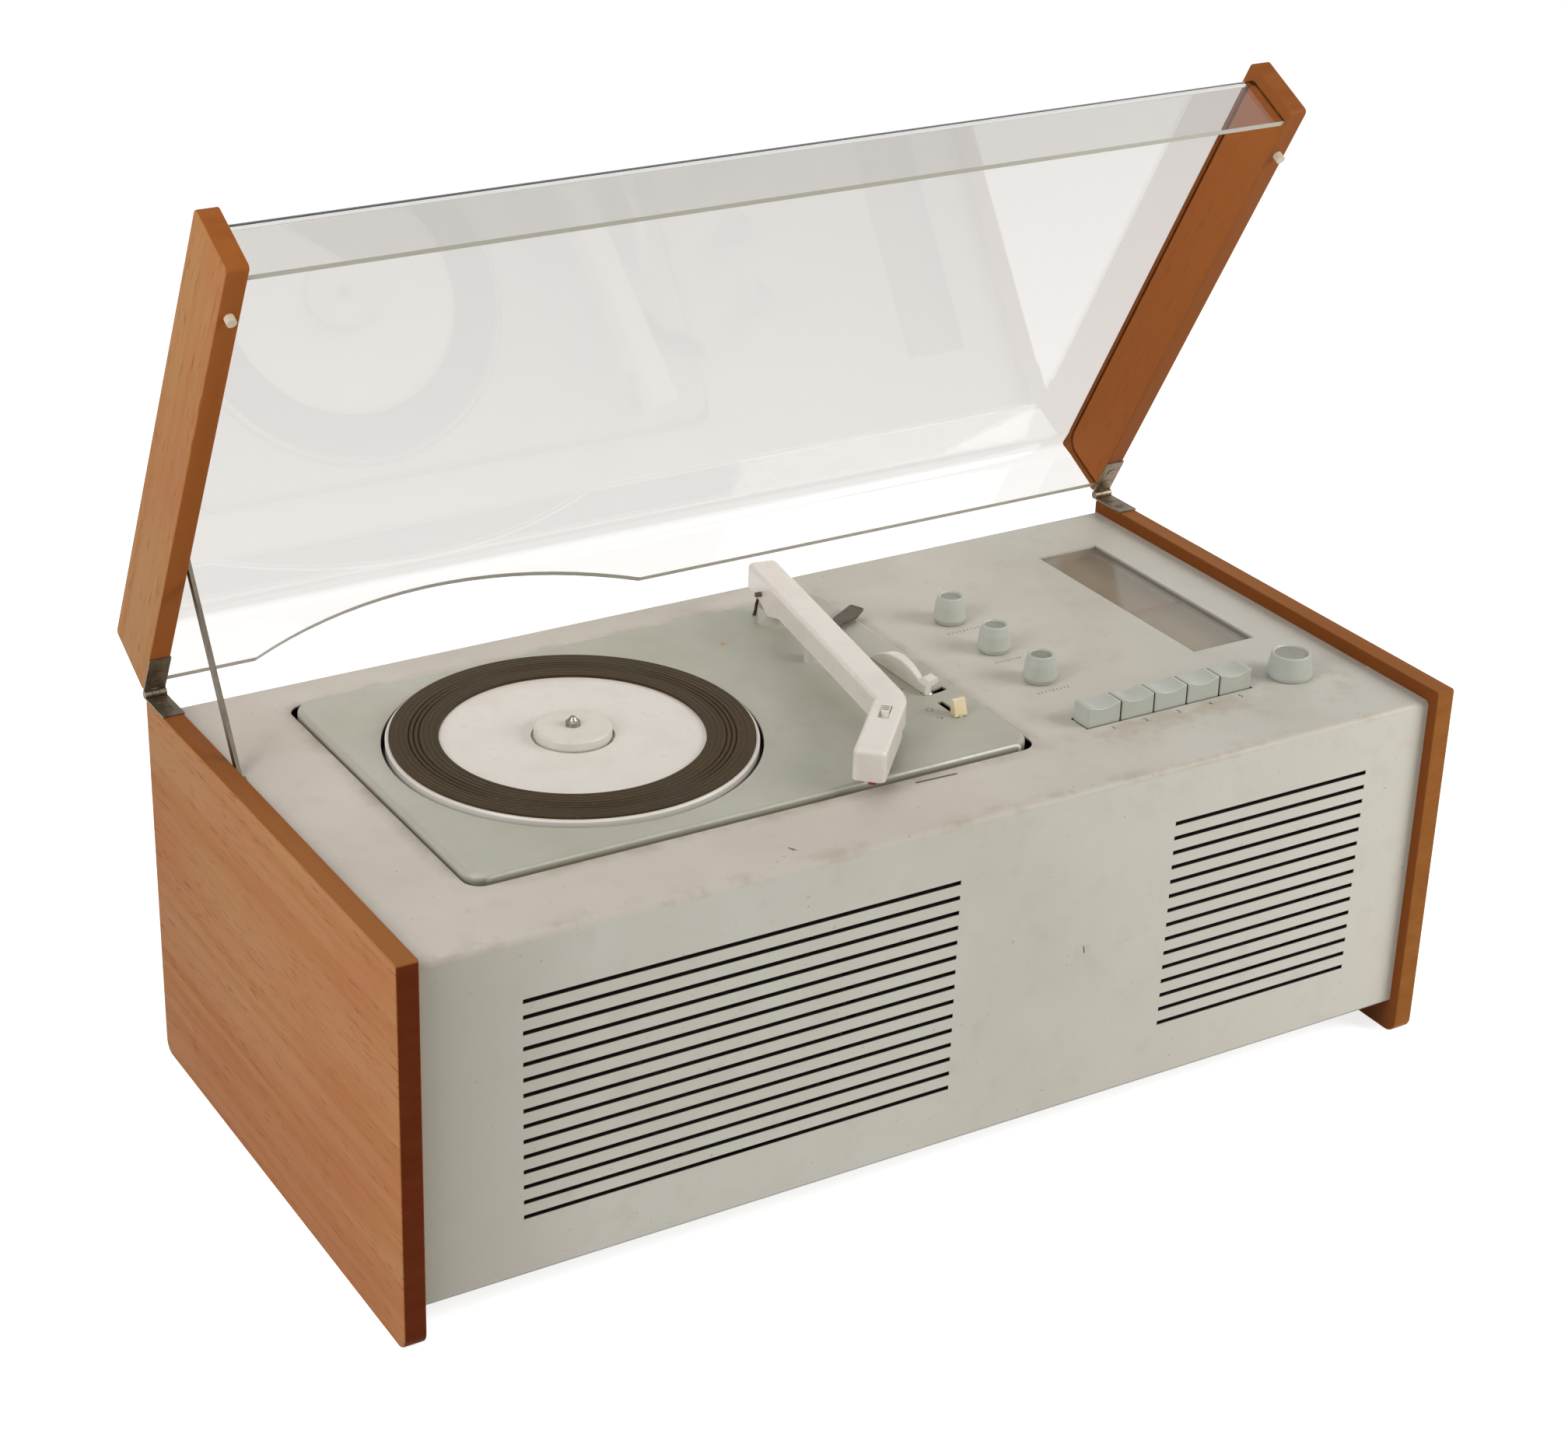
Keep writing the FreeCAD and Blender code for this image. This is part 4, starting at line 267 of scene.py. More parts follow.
# Noise scales through the board, along the grain and across it
CLOUD_SCALE, BAND_SCALE, FIBRE_SCALE = (8, 5, 15), (60, 2.5, 150), (700, 16, 800)
ROW_SCALE, DASH_SCALE = (40, 3, 260), (500, 75, 950)
EDGE_STREAK = (0.78, 0.70, 0.62, 1)
# Where each noise begins to show, where it shows fully, and how much; ROWS: from how much to how much
ROSY, BANDS, FIBRES = (0.38, 0.62), (0.45, 0.7, 0.45), (0.35, 0.65, 0.12)
DASHES, ROWS, EDGE_BANDS = (0.60, 0.70), (0.42, 0.56, 0.2, 1.0), (0.4, 0.66, 0.5)
DASH_SHARE, INSIDE_DASH_SHARE = 0.6, 0.4
OUTER_X, INNER_X = (HALF_WIDTH - 0.0006, HALF_WIDTH - 0.0002), (INNER_FACE + 0.0003, INNER_FACE + 0.0007)
LEFT_TO_RIGHT_X, CHEEK_SHADE_Y = (-0.01, 0.01), (-0.03, 0.07)
PANEL_TOP_Z = (PANEL_TOP - 0.0016, PANEL_TOP - 0.0006)


def wood(name, tones, grain_turn=0.0, grain_shift=0.0):
    """Oiled beech: two soft tones, faint streaks and short orange dashes along the grain; edges are deeper.

    tones names the colours of faces and edges, with "top" for an upright panel's top edge and
    "top_cheek_shade" for painted shade on the left panel's top towards the rear, under the lid cheek."""
    paint = Paint(name, tones["warm"], 0.5, Specular_IOR_Level=0.06)
    turned = paint.stretched((1, 1, 1), turn=(grain_turn, 0, 0))
    along = paint.vector("ADD", turned, (grain_shift, grain_shift * 2, 0))

    def grain(scale, detail, roughness=NOISE_ROUGHNESS):
        return paint.noise(1.0, detail, roughness, paint.stretched(scale, source=along))

    cloud, band, fibre = grain(CLOUD_SCALE, 3), grain(BAND_SCALE, 3), grain(FIBRE_SCALE, 2)
    row, dash = grain(ROW_SCALE, 2), grain(DASH_SCALE, 1, 0.3)
    dashes = paint.product(paint.rise(dash, *DASHES), paint.span(row, *ROWS))
    face = paint.mix(paint.rise(cloud, *ROSY), tones["warm"], tones["rosy"])
    face = paint.lay(face, shade(tones["rosy"], 0.86), paint.rise(band, *BANDS))
    face = paint.lay(face, shade(tones["warm"], 1.2), paint.rise(fibre, *FIBRES))
    face = paint.lay(face, tones["dash"], dashes, DASH_SHARE)
    x, y, z = paint.axes()
    edge = paint.mix(paint.rise(x, *LEFT_TO_RIGHT_X), tones["front_left"], tones["front_right"])
    if "top" in tones:
        # Painted shade: the left panel's top turns darker towards the rear, where the lid cheek shades it
        top = paint.lay(tones["top"], tones["top_cheek_shade"], paint.fall(x, *LEFT_TO_RIGHT_X),
                        paint.rise(y, *CHEEK_SHADE_Y))
        edge = paint.lay(edge, top, paint.rise(z, *PANEL_TOP_Z))
    edge = paint.lay(edge, paint.mix(1.0, edge, EDGE_STREAK, "MULTIPLY"), paint.rise(band, *EDGE_BANDS))
    side = paint.math("ABSOLUTE", x)
    inside = paint.lay(tones["inner"], tones["dash"], dashes, INSIDE_DASH_SHARE)
    tone = paint.mix(paint.rise(side, *OUTER_X), edge, face)
    paint.color(paint.lay(tone, inside, paint.fall(side, *INNER_X)))
    paint.uneven(band, 0.42, 0.58)
    paint.bump(paint.math("SUBTRACT", fibre, paint.product(dashes, 1.2)), strength=0.15, distance=0.0002)
    return paint.material


# ---- Cover's enamel

COVER_TONES = {
    "enamel": srgb(199, 193, 182),
    "top_light": srgb(204, 196, 186), "top_deep": srgb(194, 186, 174),
    "right_light": srgb(200, 197, 186), "right_deep": srgb(190, 186, 174),
    "front_light": srgb(200, 197, 186), "front_deep": srgb(193, 189, 177),
    # front_left is painted shade on the front beside the left panel, front_right painted light towards the
    # right
    "front_left": srgb(168, 163, 150), "front_right": srgb(206, 202, 190),
    "dirt": srgb(166, 154, 138), "fleck": srgb(128, 114, 98), "grime": srgb(150, 134, 114),
    # bend is slight brownish dirt and painted shade that dulls the front bend's highlight
    "handled": srgb(163, 146, 126), "worn_bend": srgb(208, 200, 188), "bend": srgb(176, 166, 150),
    "front_dirt": srgb(158, 142, 122), "end_dirt": srgb(168, 156, 140), "chip": srgb(232, 214, 184),
    # key_gap_shade and inside are painted shade: a dark line round the keys' opening, and the cover behind
    # its front and below its top
    "scratch": srgb(62, 54, 46), "key_gap_shade": srgb(44, 38, 31), "inside": srgb(34, 31, 27)}
# Noises: scale, detail and roughness
COVER_CLOUD, COVER_SPOTS, COVER_FLECK = (9, 4, 0.6), (55, 3, 0.6), (420, 1, 0.5)
HAND_SPOTS, FRONT_SPOTS, CHIP_SPOTS = (38, 4, 0.65), (70, 3), (230, 2)
# Where each noise begins to show, where it shows fully, and how much
MOTTLE, COVER_DIRT, FLECKS = (0.35, 0.68), (0.55, 0.8, 0.22), (0.75, 0.79, 0.5)
HAND_DIRT, WORN_SPOTS = (0.50, 0.62, 0.45), (0.50, 0.66, 0.2)
FRONT_DIRT, CHIPS = (0.5, 0.66, 0.4), (0.60, 0.64)
# Those that never fall to nothing: begins, shows fully, from how much, to how much
GRIME_SPOTS, END_CLOUD = (0.35, 0.65, 0.05, 0.6), (0.3, 0.7, 0.1, 0.4)
BEND_SHADE_SHARE, SCRATCH_SHARE, DIAL_WALL_SHARE = 0.35, 0.95, 0.25
# Pairs in _X, _Y and _Z, and the distances below, are the places between which a zone fades in or out
ON_TOP_Y = (COVER_FRONT, COVER_FRONT + COVER_BEND)
TOP_RIGHT_X, FRONT_LEFT_SHADE_X, FRONT_RIGHT_LIGHT_X = (0.02, 0.22), (-0.19, -0.278), (0.06, 0.27)
DECK_GRIME, KEY_GAP_SHADE = (0.0015, 0.0095), (0.0006, 0.0010)
HANDLED_FRONT_Y, HANDLED_REAR_Y, HANDLED_X = (-0.125, -0.092), (-0.090, -0.080), (0.075, 0.12)
BEND_Y = (COVER_FRONT + COVER_BEND, COVER_FRONT + 0.0012)
BEND_Z = (COVER_TOP - 0.0030, COVER_TOP - 0.0012)
BY_BEND_Y = (COVER_FRONT + 0.010, COVER_FRONT + 0.002)
BY_BEND_Z = (COVER_TOP - 0.004, COVER_TOP - 0.001)
ENDS_X = (0.2735, INNER_FACE)
CHIPS_X, CHIPS_FRONT_Y, CHIPS_REAR_Y = (0.2775, 0.2790), (-0.118, -0.110), (-0.092, -0.084)
BACK_OF_FRONT_Y = (COVER_FRONT + 0.0002, COVER_FRONT + 0.0004)
BELOW_BEND_Z = (COVER_TOP - 0.0035, COVER_TOP - 0.0045)
BEHIND_FRONT_Y = (COVER_FRONT + 0.004, COVER_FRONT + 0.005)
BELOW_TOP_Z = (COVER_TOP - 0.0010, COVER_TOP - 0.0006)
DIAL_X, DIAL_REAR_Y = (0.2100, 0.2105), (0.1065, 0.1070)
# Start, end and width of each scratch
COVER_SCRATCHES = (
    ((0.0023, -0.0937, COVER_TOP), (0.0241, -0.0946, COVER_TOP), 0.0010),
    ((-0.0850, -0.1210, COVER_TOP), (-0.0842, -0.1240, COVER_TOP), 0.0006),
    ((-0.0838, -0.1222, COVER_TOP), (-0.0830, -0.1246, COVER_TOP), 0.0004),
    ((0.0745, COVER_FRONT, 0.1065), (0.0752, COVER_FRONT, 0.1030), 0.0005),
)


def cover_ground(paint, cloud, on_top):
    """Enamel without dirt: warm on top and more neutral to the right; the front has painted shade at its far
    left, beside the left panel, and painted light towards its right.
    """
    tones = COVER_TONES
    x = paint.axis(0)
    mottle = paint.rise(cloud, *MOTTLE)
    top = paint.mix(mottle, tones["top_light"], tones["top_deep"])
    top = paint.lay(top, paint.mix(mottle, tones["right_light"], tones["right_deep"]),
                    paint.rise(x, *TOP_RIGHT_X))
    front = paint.mix(mottle, tones["front_light"], tones["front_deep"])
    # Painted shade at the front's far left and painted light towards its right
    front = paint.lay(front, tones["front_left"], paint.rise(x, *FRONT_LEFT_SHADE_X))
    front = paint.lay(front, tones["front_right"], paint.rise(x, *FRONT_RIGHT_LIGHT_X))
    return paint.mix(on_top, front, top)


def cover_wear(paint, tone, cloud, spots, on_top):
    """Grime around the deck and where hands rest, the worn bend with slight dirt and painted shade laid over
    it, dirt along it and at the ends, chips.
    """
    tones = COVER_TONES
    x, y, z = paint.axes()
    tone = paint.lay(tone, tones["grime"], paint.fall(paint.beside(DECK_MIDDLE, DECK_HALF), *DECK_GRIME),
                     on_top, paint.span(spots, *GRIME_SPOTS))
    tone = paint.lay(tone, tones["handled"], paint.rise(y, *HANDLED_FRONT_Y),
                     paint.fall(y, *HANDLED_REAR_Y), paint.rise(x, *HANDLED_X),
                     paint.rise(paint.noise(*HAND_SPOTS), *HAND_DIRT), on_top)
    bend = paint.product(paint.rise(y, *BEND_Y), paint.rise(z, *BEND_Z))
    tone = paint.lay(tone, tones["worn_bend"], bend, paint.rise(spots, *WORN_SPOTS))
    # Slight dirt and painted shade over the whole bend, dulling its highlight
    tone = paint.lay(tone, tones["bend"], bend, BEND_SHADE_SHARE)
    tone = paint.lay(tone, tones["front_dirt"], paint.rise(y, *BY_BEND_Y), paint.rise(z, *BY_BEND_Z),
                     paint.rise(paint.noise(*FRONT_SPOTS), *FRONT_DIRT))
    tone = paint.lay(tone, tones["end_dirt"], paint.rise(paint.math("ABSOLUTE", x), *ENDS_X),
                     paint.span(cloud, *END_CLOUD))
    return paint.lay(tone, tones["chip"], paint.rise(x, *CHIPS_X),
                     paint.rise(paint.noise(*CHIP_SPOTS), *CHIPS),
                     paint.rise(y, *CHIPS_FRONT_Y), paint.fall(y, *CHIPS_REAR_Y))


def cover_metal():
    """Pale warm enamel with soft dirt, brownish in front of the keys, worn at the front bend and given
    painted shade there; painted shade round the keys' opening, behind the front and on the walls below the
    top.
    """
    tones = COVER_TONES
    paint = Paint("cover_enamel", tones["enamel"], 0.42, Specular_IOR_Level=0.35)
    x, y, z = paint.axes()
    cloud, spots = paint.noise(*COVER_CLOUD), paint.noise(*COVER_SPOTS)
    fleck = paint.noise(*COVER_FLECK)
    on_top = paint.rise(y, *ON_TOP_Y)
    tone = cover_ground(paint, cloud, on_top)
    tone = paint.lay(tone, tones["dirt"], paint.rise(spots, *COVER_DIRT))
    tone = paint.lay(tone, tones["fleck"], paint.rise(fleck, *FLECKS))
    tone = cover_wear(paint, tone, cloud, spots, on_top)
    tone = paint.lay(tone, tones["scratch"], paint.strokes(COVER_SCRATCHES), SCRATCH_SHARE)
    beside_keys = paint.beside(KEYS_MIDDLE, KEYS_HALF)
    # Painted shade: a thin dark line on the top round the keys' opening
    tone = paint.lay(tone, tones["key_gap_shade"], paint.fall(beside_keys, *KEY_GAP_SHADE), on_top)
    # Painted shade behind the front face and on the walls below the top, fainter at the dial's opening
    behind = paint.product(paint.rise(y, *BACK_OF_FRONT_Y), paint.rise(z, *BELOW_BEND_Z))
    wall = paint.product(paint.rise(y, *BEHIND_FRONT_Y), paint.fall(z, *BELOW_TOP_Z))
    at_dial = paint.product(paint.rise(x, *DIAL_X), paint.fall(y, *DIAL_REAR_Y))
    wall = paint.product(wall, paint.span(at_dial, 0.0, 1.0, 1.0, DIAL_WALL_SHARE))
    paint.color(paint.lay(tone, tones["inside"], paint.math("MAXIMUM", behind, wall)))
    paint.uneven(cloud, 0.36, 0.5)
    paint.bump(paint.math("ADD", fleck, paint.product(spots, 1.5)), strength=0.08, distance=0.0003)
    return paint.material


# ---- Deck's enamel

DECK_TONES = {
    "enamel": srgb(178, 178, 165), "light": srgb(184, 183, 170), "deep": srgb(172, 170, 155),
    # rounding and front are painted shade on the front edge and the side below it; edge_highlight is a
    # painted highlight line
    "dirt": srgb(156, 148, 128), "stain": srgb(176, 146, 104), "rounding": srgb(142, 140, 124),
    "front": srgb(134, 131, 114), "edge_highlight": srgb(224, 222, 212), "well": srgb(96, 88, 72),
    # well and slot are painted shade, deeper down in the wells and below the top face
    "mark": srgb(84, 78, 68), "slot": srgb(52, 47, 40)}
# Noises and where they show, as for the cover
DECK_CLOUD, DECK_SPOTS, STAIN_SPOTS, HAMMERING = (11, 4, 0.6), (70, 3, 0.6), (300, 2), (260, 2)
DECK_MOTTLE, DECK_DIRT, STAIN_RAMP = (0.35, 0.66), (0.55, 0.8, 0.25), (0.40, 0.52)
ROUNDING_SHADE_SHARE, DECK_SIDE_SHADE_SHARE, MARK_SHARE = 0.35, 0.75, 0.85
DECK_STAIN, STAIN_RADIUS = (-0.0037, 0.0778, DECK_TOP), (0.0012, 0.0032)
DECK_FRONT_Y, DECK_ROUNDING, DECK_SIDE_Z = (-0.083, -0.086), (-0.0030, -0.0014), (0.1946, 0.1942)
# The painted highlight line on the rounded edge, by its distance from the deck's outline, and how it varies
LINE_INSIDE, LINE_OUTSIDE, LINE_X = (-0.0013, -0.0011), (-0.0006, -0.0004), (-0.05, 0.02)
LINE_SPOTS, LINE_NOT_FRONT, LINE_LEFT = (0.38, 0.60, 0.35, 0.95), 0.2, 0.3
WELL_SHADE_Z, WELL_SHADE_SHARE = (0.1895, 0.1935), 0.85
# Below its top face the deck has painted shade, except near its outline
BELOW_DECK_Z, NEAR_OUTLINE = (0.1948, 0.1954), (-0.0060, -0.0050)
# A ring and short marks beside the slots
RING_MIDDLE = (0.0475, -0.0364, DECK_TOP)
RING_INSIDE, RING_OUTSIDE = (0.0012, 0.0014), (0.0019, 0.0021)
DECK_MARKS = (
    ((0.0475, -0.0471, DECK_TOP), (0.0482, -0.0466, DECK_TOP), 0.0008),
    ((0.0462, -0.0455, DECK_TOP), (0.0466, -0.0452, DECK_TOP), 0.0006),
    ((0.0470, -0.0110, DECK_TOP), (0.0486, -0.0100, DECK_TOP), 0.0007),
)


def deck_metal():
    """Grey-green hammered enamel with a painted highlight line and painted shade on its rounded front edge,
    and painted shade in its wells and slots.
    """
    tones = DECK_TONES
    paint = Paint("deck_enamel", tones["enamel"], 0.34, Specular_IOR_Level=0.4)
    x, y, z = paint.axes()
    cloud, spots = paint.noise(*DECK_CLOUD), paint.noise(*DECK_SPOTS)
    tone = paint.mix(paint.rise(cloud, *DECK_MOTTLE), tones["light"], tones["deep"])
    tone = paint.lay(tone, tones["dirt"], paint.rise(spots, *DECK_DIRT))
    tone = paint.lay(tone, tones["stain"], paint.fall(paint.distance(DECK_STAIN), *STAIN_RADIUS),
                     paint.rise(paint.noise(*STAIN_SPOTS), *STAIN_RAMP))
    outside = paint.beside(DECK_MIDDLE, DECK_HALF)
    at_front = paint.rise(y, *DECK_FRONT_Y)
    # Painted shade on the rounded front edge and on the front side below it
    tone = paint.lay(tone, tones["rounding"], at_front, paint.rise(outside, *DECK_ROUNDING, ROUNDING_SHADE_SHARE))
    tone = paint.lay(tone, tones["front"], at_front, paint.rise(z, *DECK_SIDE_Z, DECK_SIDE_SHADE_SHARE))
    # Painted highlight: a thin pale line along the rounded edge, strongest at the front and to the right
    line = paint.product(paint.rise(outside, *LINE_INSIDE), paint.fall(outside, *LINE_OUTSIDE))
    tone = paint.lay(tone, tones["edge_highlight"], line, paint.span(spots, *LINE_SPOTS),
                     paint.span(at_front, 0.0, 1.0, LINE_NOT_FRONT, 1.0),
                     paint.span(x, *LINE_X, LINE_LEFT, 1.0))
    # Painted shade, deeper down in the wells
    tone = paint.lay(tone, tones["well"], paint.span(z, *WELL_SHADE_Z, WELL_SHADE_SHARE, 0.0))
    from_ring = paint.distance(RING_MIDDLE)
    ring = paint.product(paint.rise(from_ring, *RING_INSIDE), paint.fall(from_ring, *RING_OUTSIDE))
    marks = paint.math("MAXIMUM", ring, paint.strokes(DECK_MARKS))
    tone = paint.lay(tone, tones["mark"], marks, MARK_SHARE)
    # Painted shade below the top face, except near the outline
    below = paint.mix(paint.rise(outside, *NEAR_OUTLINE), tones["slot"], tone)
    paint.color(paint.lay(tone, below, paint.fall(z, *BELOW_DECK_Z)))
    paint.uneven(cloud, 0.26, 0.42)
    height = paint.math("ADD", paint.noise(*HAMMERING), paint.product(spots, 1.2))
    paint.bump(height, strength=0.10, distance=0.0003)
    return paint.material


# ---- Mat, plastics, metals, dial, cloth and clear pieces

RIB_START, RIB_PITCH = 0.0765, 0.0024
RIBS_INSIDE, RIBS_OUTSIDE = (0.0662, 0.0672), (0.0856, 0.0862)
MAT_TONES = {
    "rubber": srgb(60, 48, 28), "deep": srgb(56, 44, 24), "light": srgb(68, 54, 31),
    # rib is a painted highlight on the crests, groove painted shade in the grooves
    "rib": srgb(88, 75, 52), "groove": srgb(34, 28, 18), "dust": srgb(140, 128, 106)}
MAT_MOTTLE, DUST = (0.35, 0.7), (0.71, 0.76, 0.4)
# The ribs' wave runs from -1 to 1: where their crests get painted highlight and their grooves painted shade,
# and how much
CREST_HIGHLIGHT_RAMP, GROOVE_SHADE_RAMP = (0.3, 1.0, 0.16), (-1.0, -0.3, 0.3, 0.0)


def mat_rubber():
    """Ribbed dark mat: fine concentric grooves in its outer part, with painted highlight on their crests and
    painted shade down in them, a little dust.
    """
    tones = MAT_TONES
    paint = Paint("ribbed_rubber", tones["rubber"], 0.42, Specular_IOR_Level=0.12)
    flat = paint.vector("MULTIPLY", paint.place, (1, 1, 0))
    radius = paint.vector("LENGTH", paint.vector("SUBTRACT", flat, (*PLATTER_MIDDLE, 0)))
    turn = paint.product(paint.math("SUBTRACT", radius, RIB_START), math.tau / RIB_PITCH)
    ribs = paint.product(paint.math("COSINE", turn), -1.0,
                         paint.product(paint.rise(radius, *RIBS_INSIDE), paint.fall(radius, *RIBS_OUTSIDE)))
    cloud = paint.noise(16, 3)
    tone = paint.mix(paint.rise(cloud, *MAT_MOTTLE), tones["deep"], tones["light"])
    tone = paint.lay(tone, tones["rib"], paint.rise(ribs, *CREST_HIGHLIGHT_RAMP))
    tone = paint.lay(tone, tones["groove"], paint.span(ribs, *GROOVE_SHADE_RAMP))
    paint.color(paint.lay(tone, tones["dust"], paint.rise(paint.noise(340, 2), *DUST)))
    paint.uneven(cloud, 0.36, 0.5)
    height = paint.math("ADD", ribs, paint.product(paint.noise(500, 1), 0.3))
    paint.bump(height, strength=0.35, distance=0.0003)
    return paint.material


PLASTIC_STAINS, PLASTIC_SPECKS = (0.48, 0.78), (0.72, 0.78, 0.35)


def pale_plastic(name, color, stain, roughness, coat=0.0, stains=0.35, wear=None):
    """Moulded plastic or enamel with faint stains and a fine uneven surface.

    wear lays more over the tone (a knob's worn hollow; on the keys, painted shade): a function of the paint,
    the tone and the cloudy noise."""
    paint = Paint(name, color, roughness, Coat_Weight=coat, Coat_Roughness=0.2, Specular_IOR_Level=0.4)
    cloud, speck = paint.noise(45, 4, 0.6), paint.noise(620, 1, 0.5)
    tone = paint.lay(color, stain, paint.rise(cloud, *PLASTIC_STAINS, stains))
    tone = paint.lay(tone, stain, paint.rise(speck, *PLASTIC_SPECKS))
    paint.color(wear(paint, tone, cloud) if wear else tone)
    paint.uneven(cloud, roughness * 0.85, roughness * 1.2)
    paint.bump(paint.math("ADD", speck, paint.product(cloud, 1.5)), strength=0.06, distance=0.0002)
    return paint.material


FACING_UP, HOLLOW_SOFT, HOLLOW_CLOUD = (0.93, 0.985), 0.0002, (0.3, 0.7, 0.85, 1.0)
# Key faces turned sideways in the slits, and key parts below the cover's top, get painted shade
FACING_SIDEWAYS, SLIT_X = (0.75, 0.95), (0.1095, 0.1100)
KEY_SHADE_Z = (COVER_TOP - 0.0008, COVER_TOP + 0.0004)


def knob_hollow(low, high):
    """Wear of a knob: a darker hollow in its top, between two heights."""
    def wear(paint, tone, cloud):
        z = paint.axis(2)
        return paint.lay(tone, srgb(138, 135, 125), paint.rise(paint.axis(2, paint.normal()), *FACING_UP),
                         paint.rise(z, low - HOLLOW_SOFT, low), paint.fall(z, high, high + HOLLOW_SOFT),
                         paint.span(cloud, *HOLLOW_CLOUD))
    return wear


def key_grime(paint, tone, cloud):
    """Painted shade on the keys: their sides dark in the slits between them, and their lower part dark down
    in their opening.
    """
    x, z = paint.axis(0), paint.axis(2)
    sideways = paint.math("ABSOLUTE", paint.axis(0, paint.normal()))
    tone = paint.lay(tone, srgb(84, 79, 70), paint.rise(sideways, *FACING_SIDEWAYS), paint.rise(x, *SLIT_X))
    return paint.lay(tone, srgb(44, 40, 34), paint.fall(z, *KEY_SHADE_Z))


TARNISH, SCRATCHES, UNEVEN_TONE = (0.45, 0.72, 0.6), (0.5, 0.8, 0.35), (0.4, 0.7, 0.6)


def metal(name, color, roughness, grain, tarnish=None):
    """Metal with fine scratches along its grain and tarnish."""
    paint = Paint(name, color, roughness, Metallic=1.0)
    lines, cloud = paint.noise(1.0, 2, source=paint.stretched(grain)), paint.noise(120, 3)
    dark = tarnish or shade(color, 0.55)
    tone = paint.lay(color, dark, paint.rise(cloud, *TARNISH))
    paint.color(paint.lay(tone, dark, paint.rise(lines, *SCRATCHES)))
    paint.uneven(lines, roughness * 0.8, roughness * 1.25)
    paint.bump(lines, strength=0.15, distance=0.0001)
    return paint.material


def plain(name, color, roughness, metallic=0.0, scale=80):
    """Simple finish with a little unevenness."""
    paint = Paint(name, color, roughness, Metallic=metallic)
    cloud = paint.noise(scale, 3)
    paint.color(paint.lay(color, shade(color, 0.7), paint.rise(cloud, *UNEVEN_TONE)))
    paint.uneven(cloud, roughness * 0.85, min(1.0, roughness * 1.15))
    paint.bump(cloud, strength=0.1, distance=0.0003)
    return paint.material


SCALE_STEP, COLUMN_START, COLUMN_PITCH = 0.0042, 0.2125, 0.0095
# As shares of a step and of a column: where a tick's height, its length and the line end or begin
TICK_HEIGHT, TICK_END, LINE_START, SCALE_INK = (0.10, 0.14), (0.42, 0.46), (0.90, 0.92), 0.22


def scale_print():
    """Dial scale: warm grey with faint columns of ticks and lines between them."""
    paint = Paint("dial_scale", srgb(164, 156, 142), 0.6, Specular_IOR_Level=0.2)
    x, y = paint.axis(0), paint.axis(1)
    step = paint.math("FRACT", paint.product(y, 1 / SCALE_STEP))
    column = paint.math("FRACT", paint.product(paint.math("SUBTRACT", x, COLUMN_START), 1 / COLUMN_PITCH))
    ticks = paint.product(paint.fall(step, *TICK_HEIGHT), paint.fall(column, *TICK_END))
    printed = paint.math("MAXIMUM", ticks, paint.rise(column, *LINE_START))
    tone = paint.mix(paint.rise(paint.noise(18, 3), *NOISE_RANGE), srgb(166, 159, 146), srgb(154, 145, 132))
    paint.color(paint.lay(tone, srgb(104, 94, 82), printed, SCALE_INK))
    paint.uneven(paint.noise(70, 2), 0.5, 0.7)
    paint.bump(paint.noise(300, 1), strength=0.05, distance=0.0002)
    return paint.material


THREAD_PITCH = 0.0011


def speaker_cloth():
    """Near-black woven cloth over the loudspeaker board."""
    paint = Paint("speaker_cloth", srgb(26, 23, 19), 0.9, Specular_IOR_Level=0.1)
    weave = paint.product(*(paint.math("SINE", paint.product(paint.axis(index), math.tau / THREAD_PITCH))
                            for index in (0, 2)))
    paint.color(paint.mix(paint.rise(weave, -1, 1), srgb(18, 16, 13), srgb(34, 30, 25)))
    paint.bump(weave, strength=0.4, distance=0.0003)
    return paint.material


def clear_in_shadow(paint, shadow_color):
    """Let light through for shadows, so that a clear piece casts only a faint one."""
    clear = paint.add("ShaderNodeBsdfTransparent")
    clear.inputs[0].default_value = shadow_color
    mix = paint.add("ShaderNodeMixShader")
    path = paint.add("ShaderNodeLightPath")
    paint.tree.links.new(path.outputs["Is Shadow Ray"], mix.inputs[0])
    paint.tree.links.new(paint.shader.outputs[0], mix.inputs[1])
    paint.tree.links.new(clear.outputs[0], mix.inputs[2])
    paint.tree.links.new(mix.outputs[0], paint.output.inputs["Surface"])
    return paint.material


PANE_TINT, LIP_TINT, CUT_EDGE = (0.70, 0.685, 0.665, 1.0), (0.80, 0.79, 0.775, 1.0), srgb(206, 202, 188)
# Directions of the open lid: out of its upper face, out of its lower one, and from hinge to front edge
LID_UP = (0.0, math.sin(LID_TURN), math.cos(LID_TURN))
LID_DOWN = (0.0, -math.sin(LID_TURN), -math.cos(LID_TURN))
LID_FORWARD = (0.0, -math.cos(LID_TURN), math.sin(LID_TURN))
# Height over the hinge below which an edge facing down is a cut one; the bands face forward or back
CUT_EDGE_HEIGHT, CUT_FACING, LIP_FACING = (0.026, 0.029), (0.55, 0.75), (0.6, 0.8)
CUT_SOLID, CUT_FROSTED, PANE_HAZE = 0.8, 0.4, (0.4, 0.8, 0.01, 0.05)


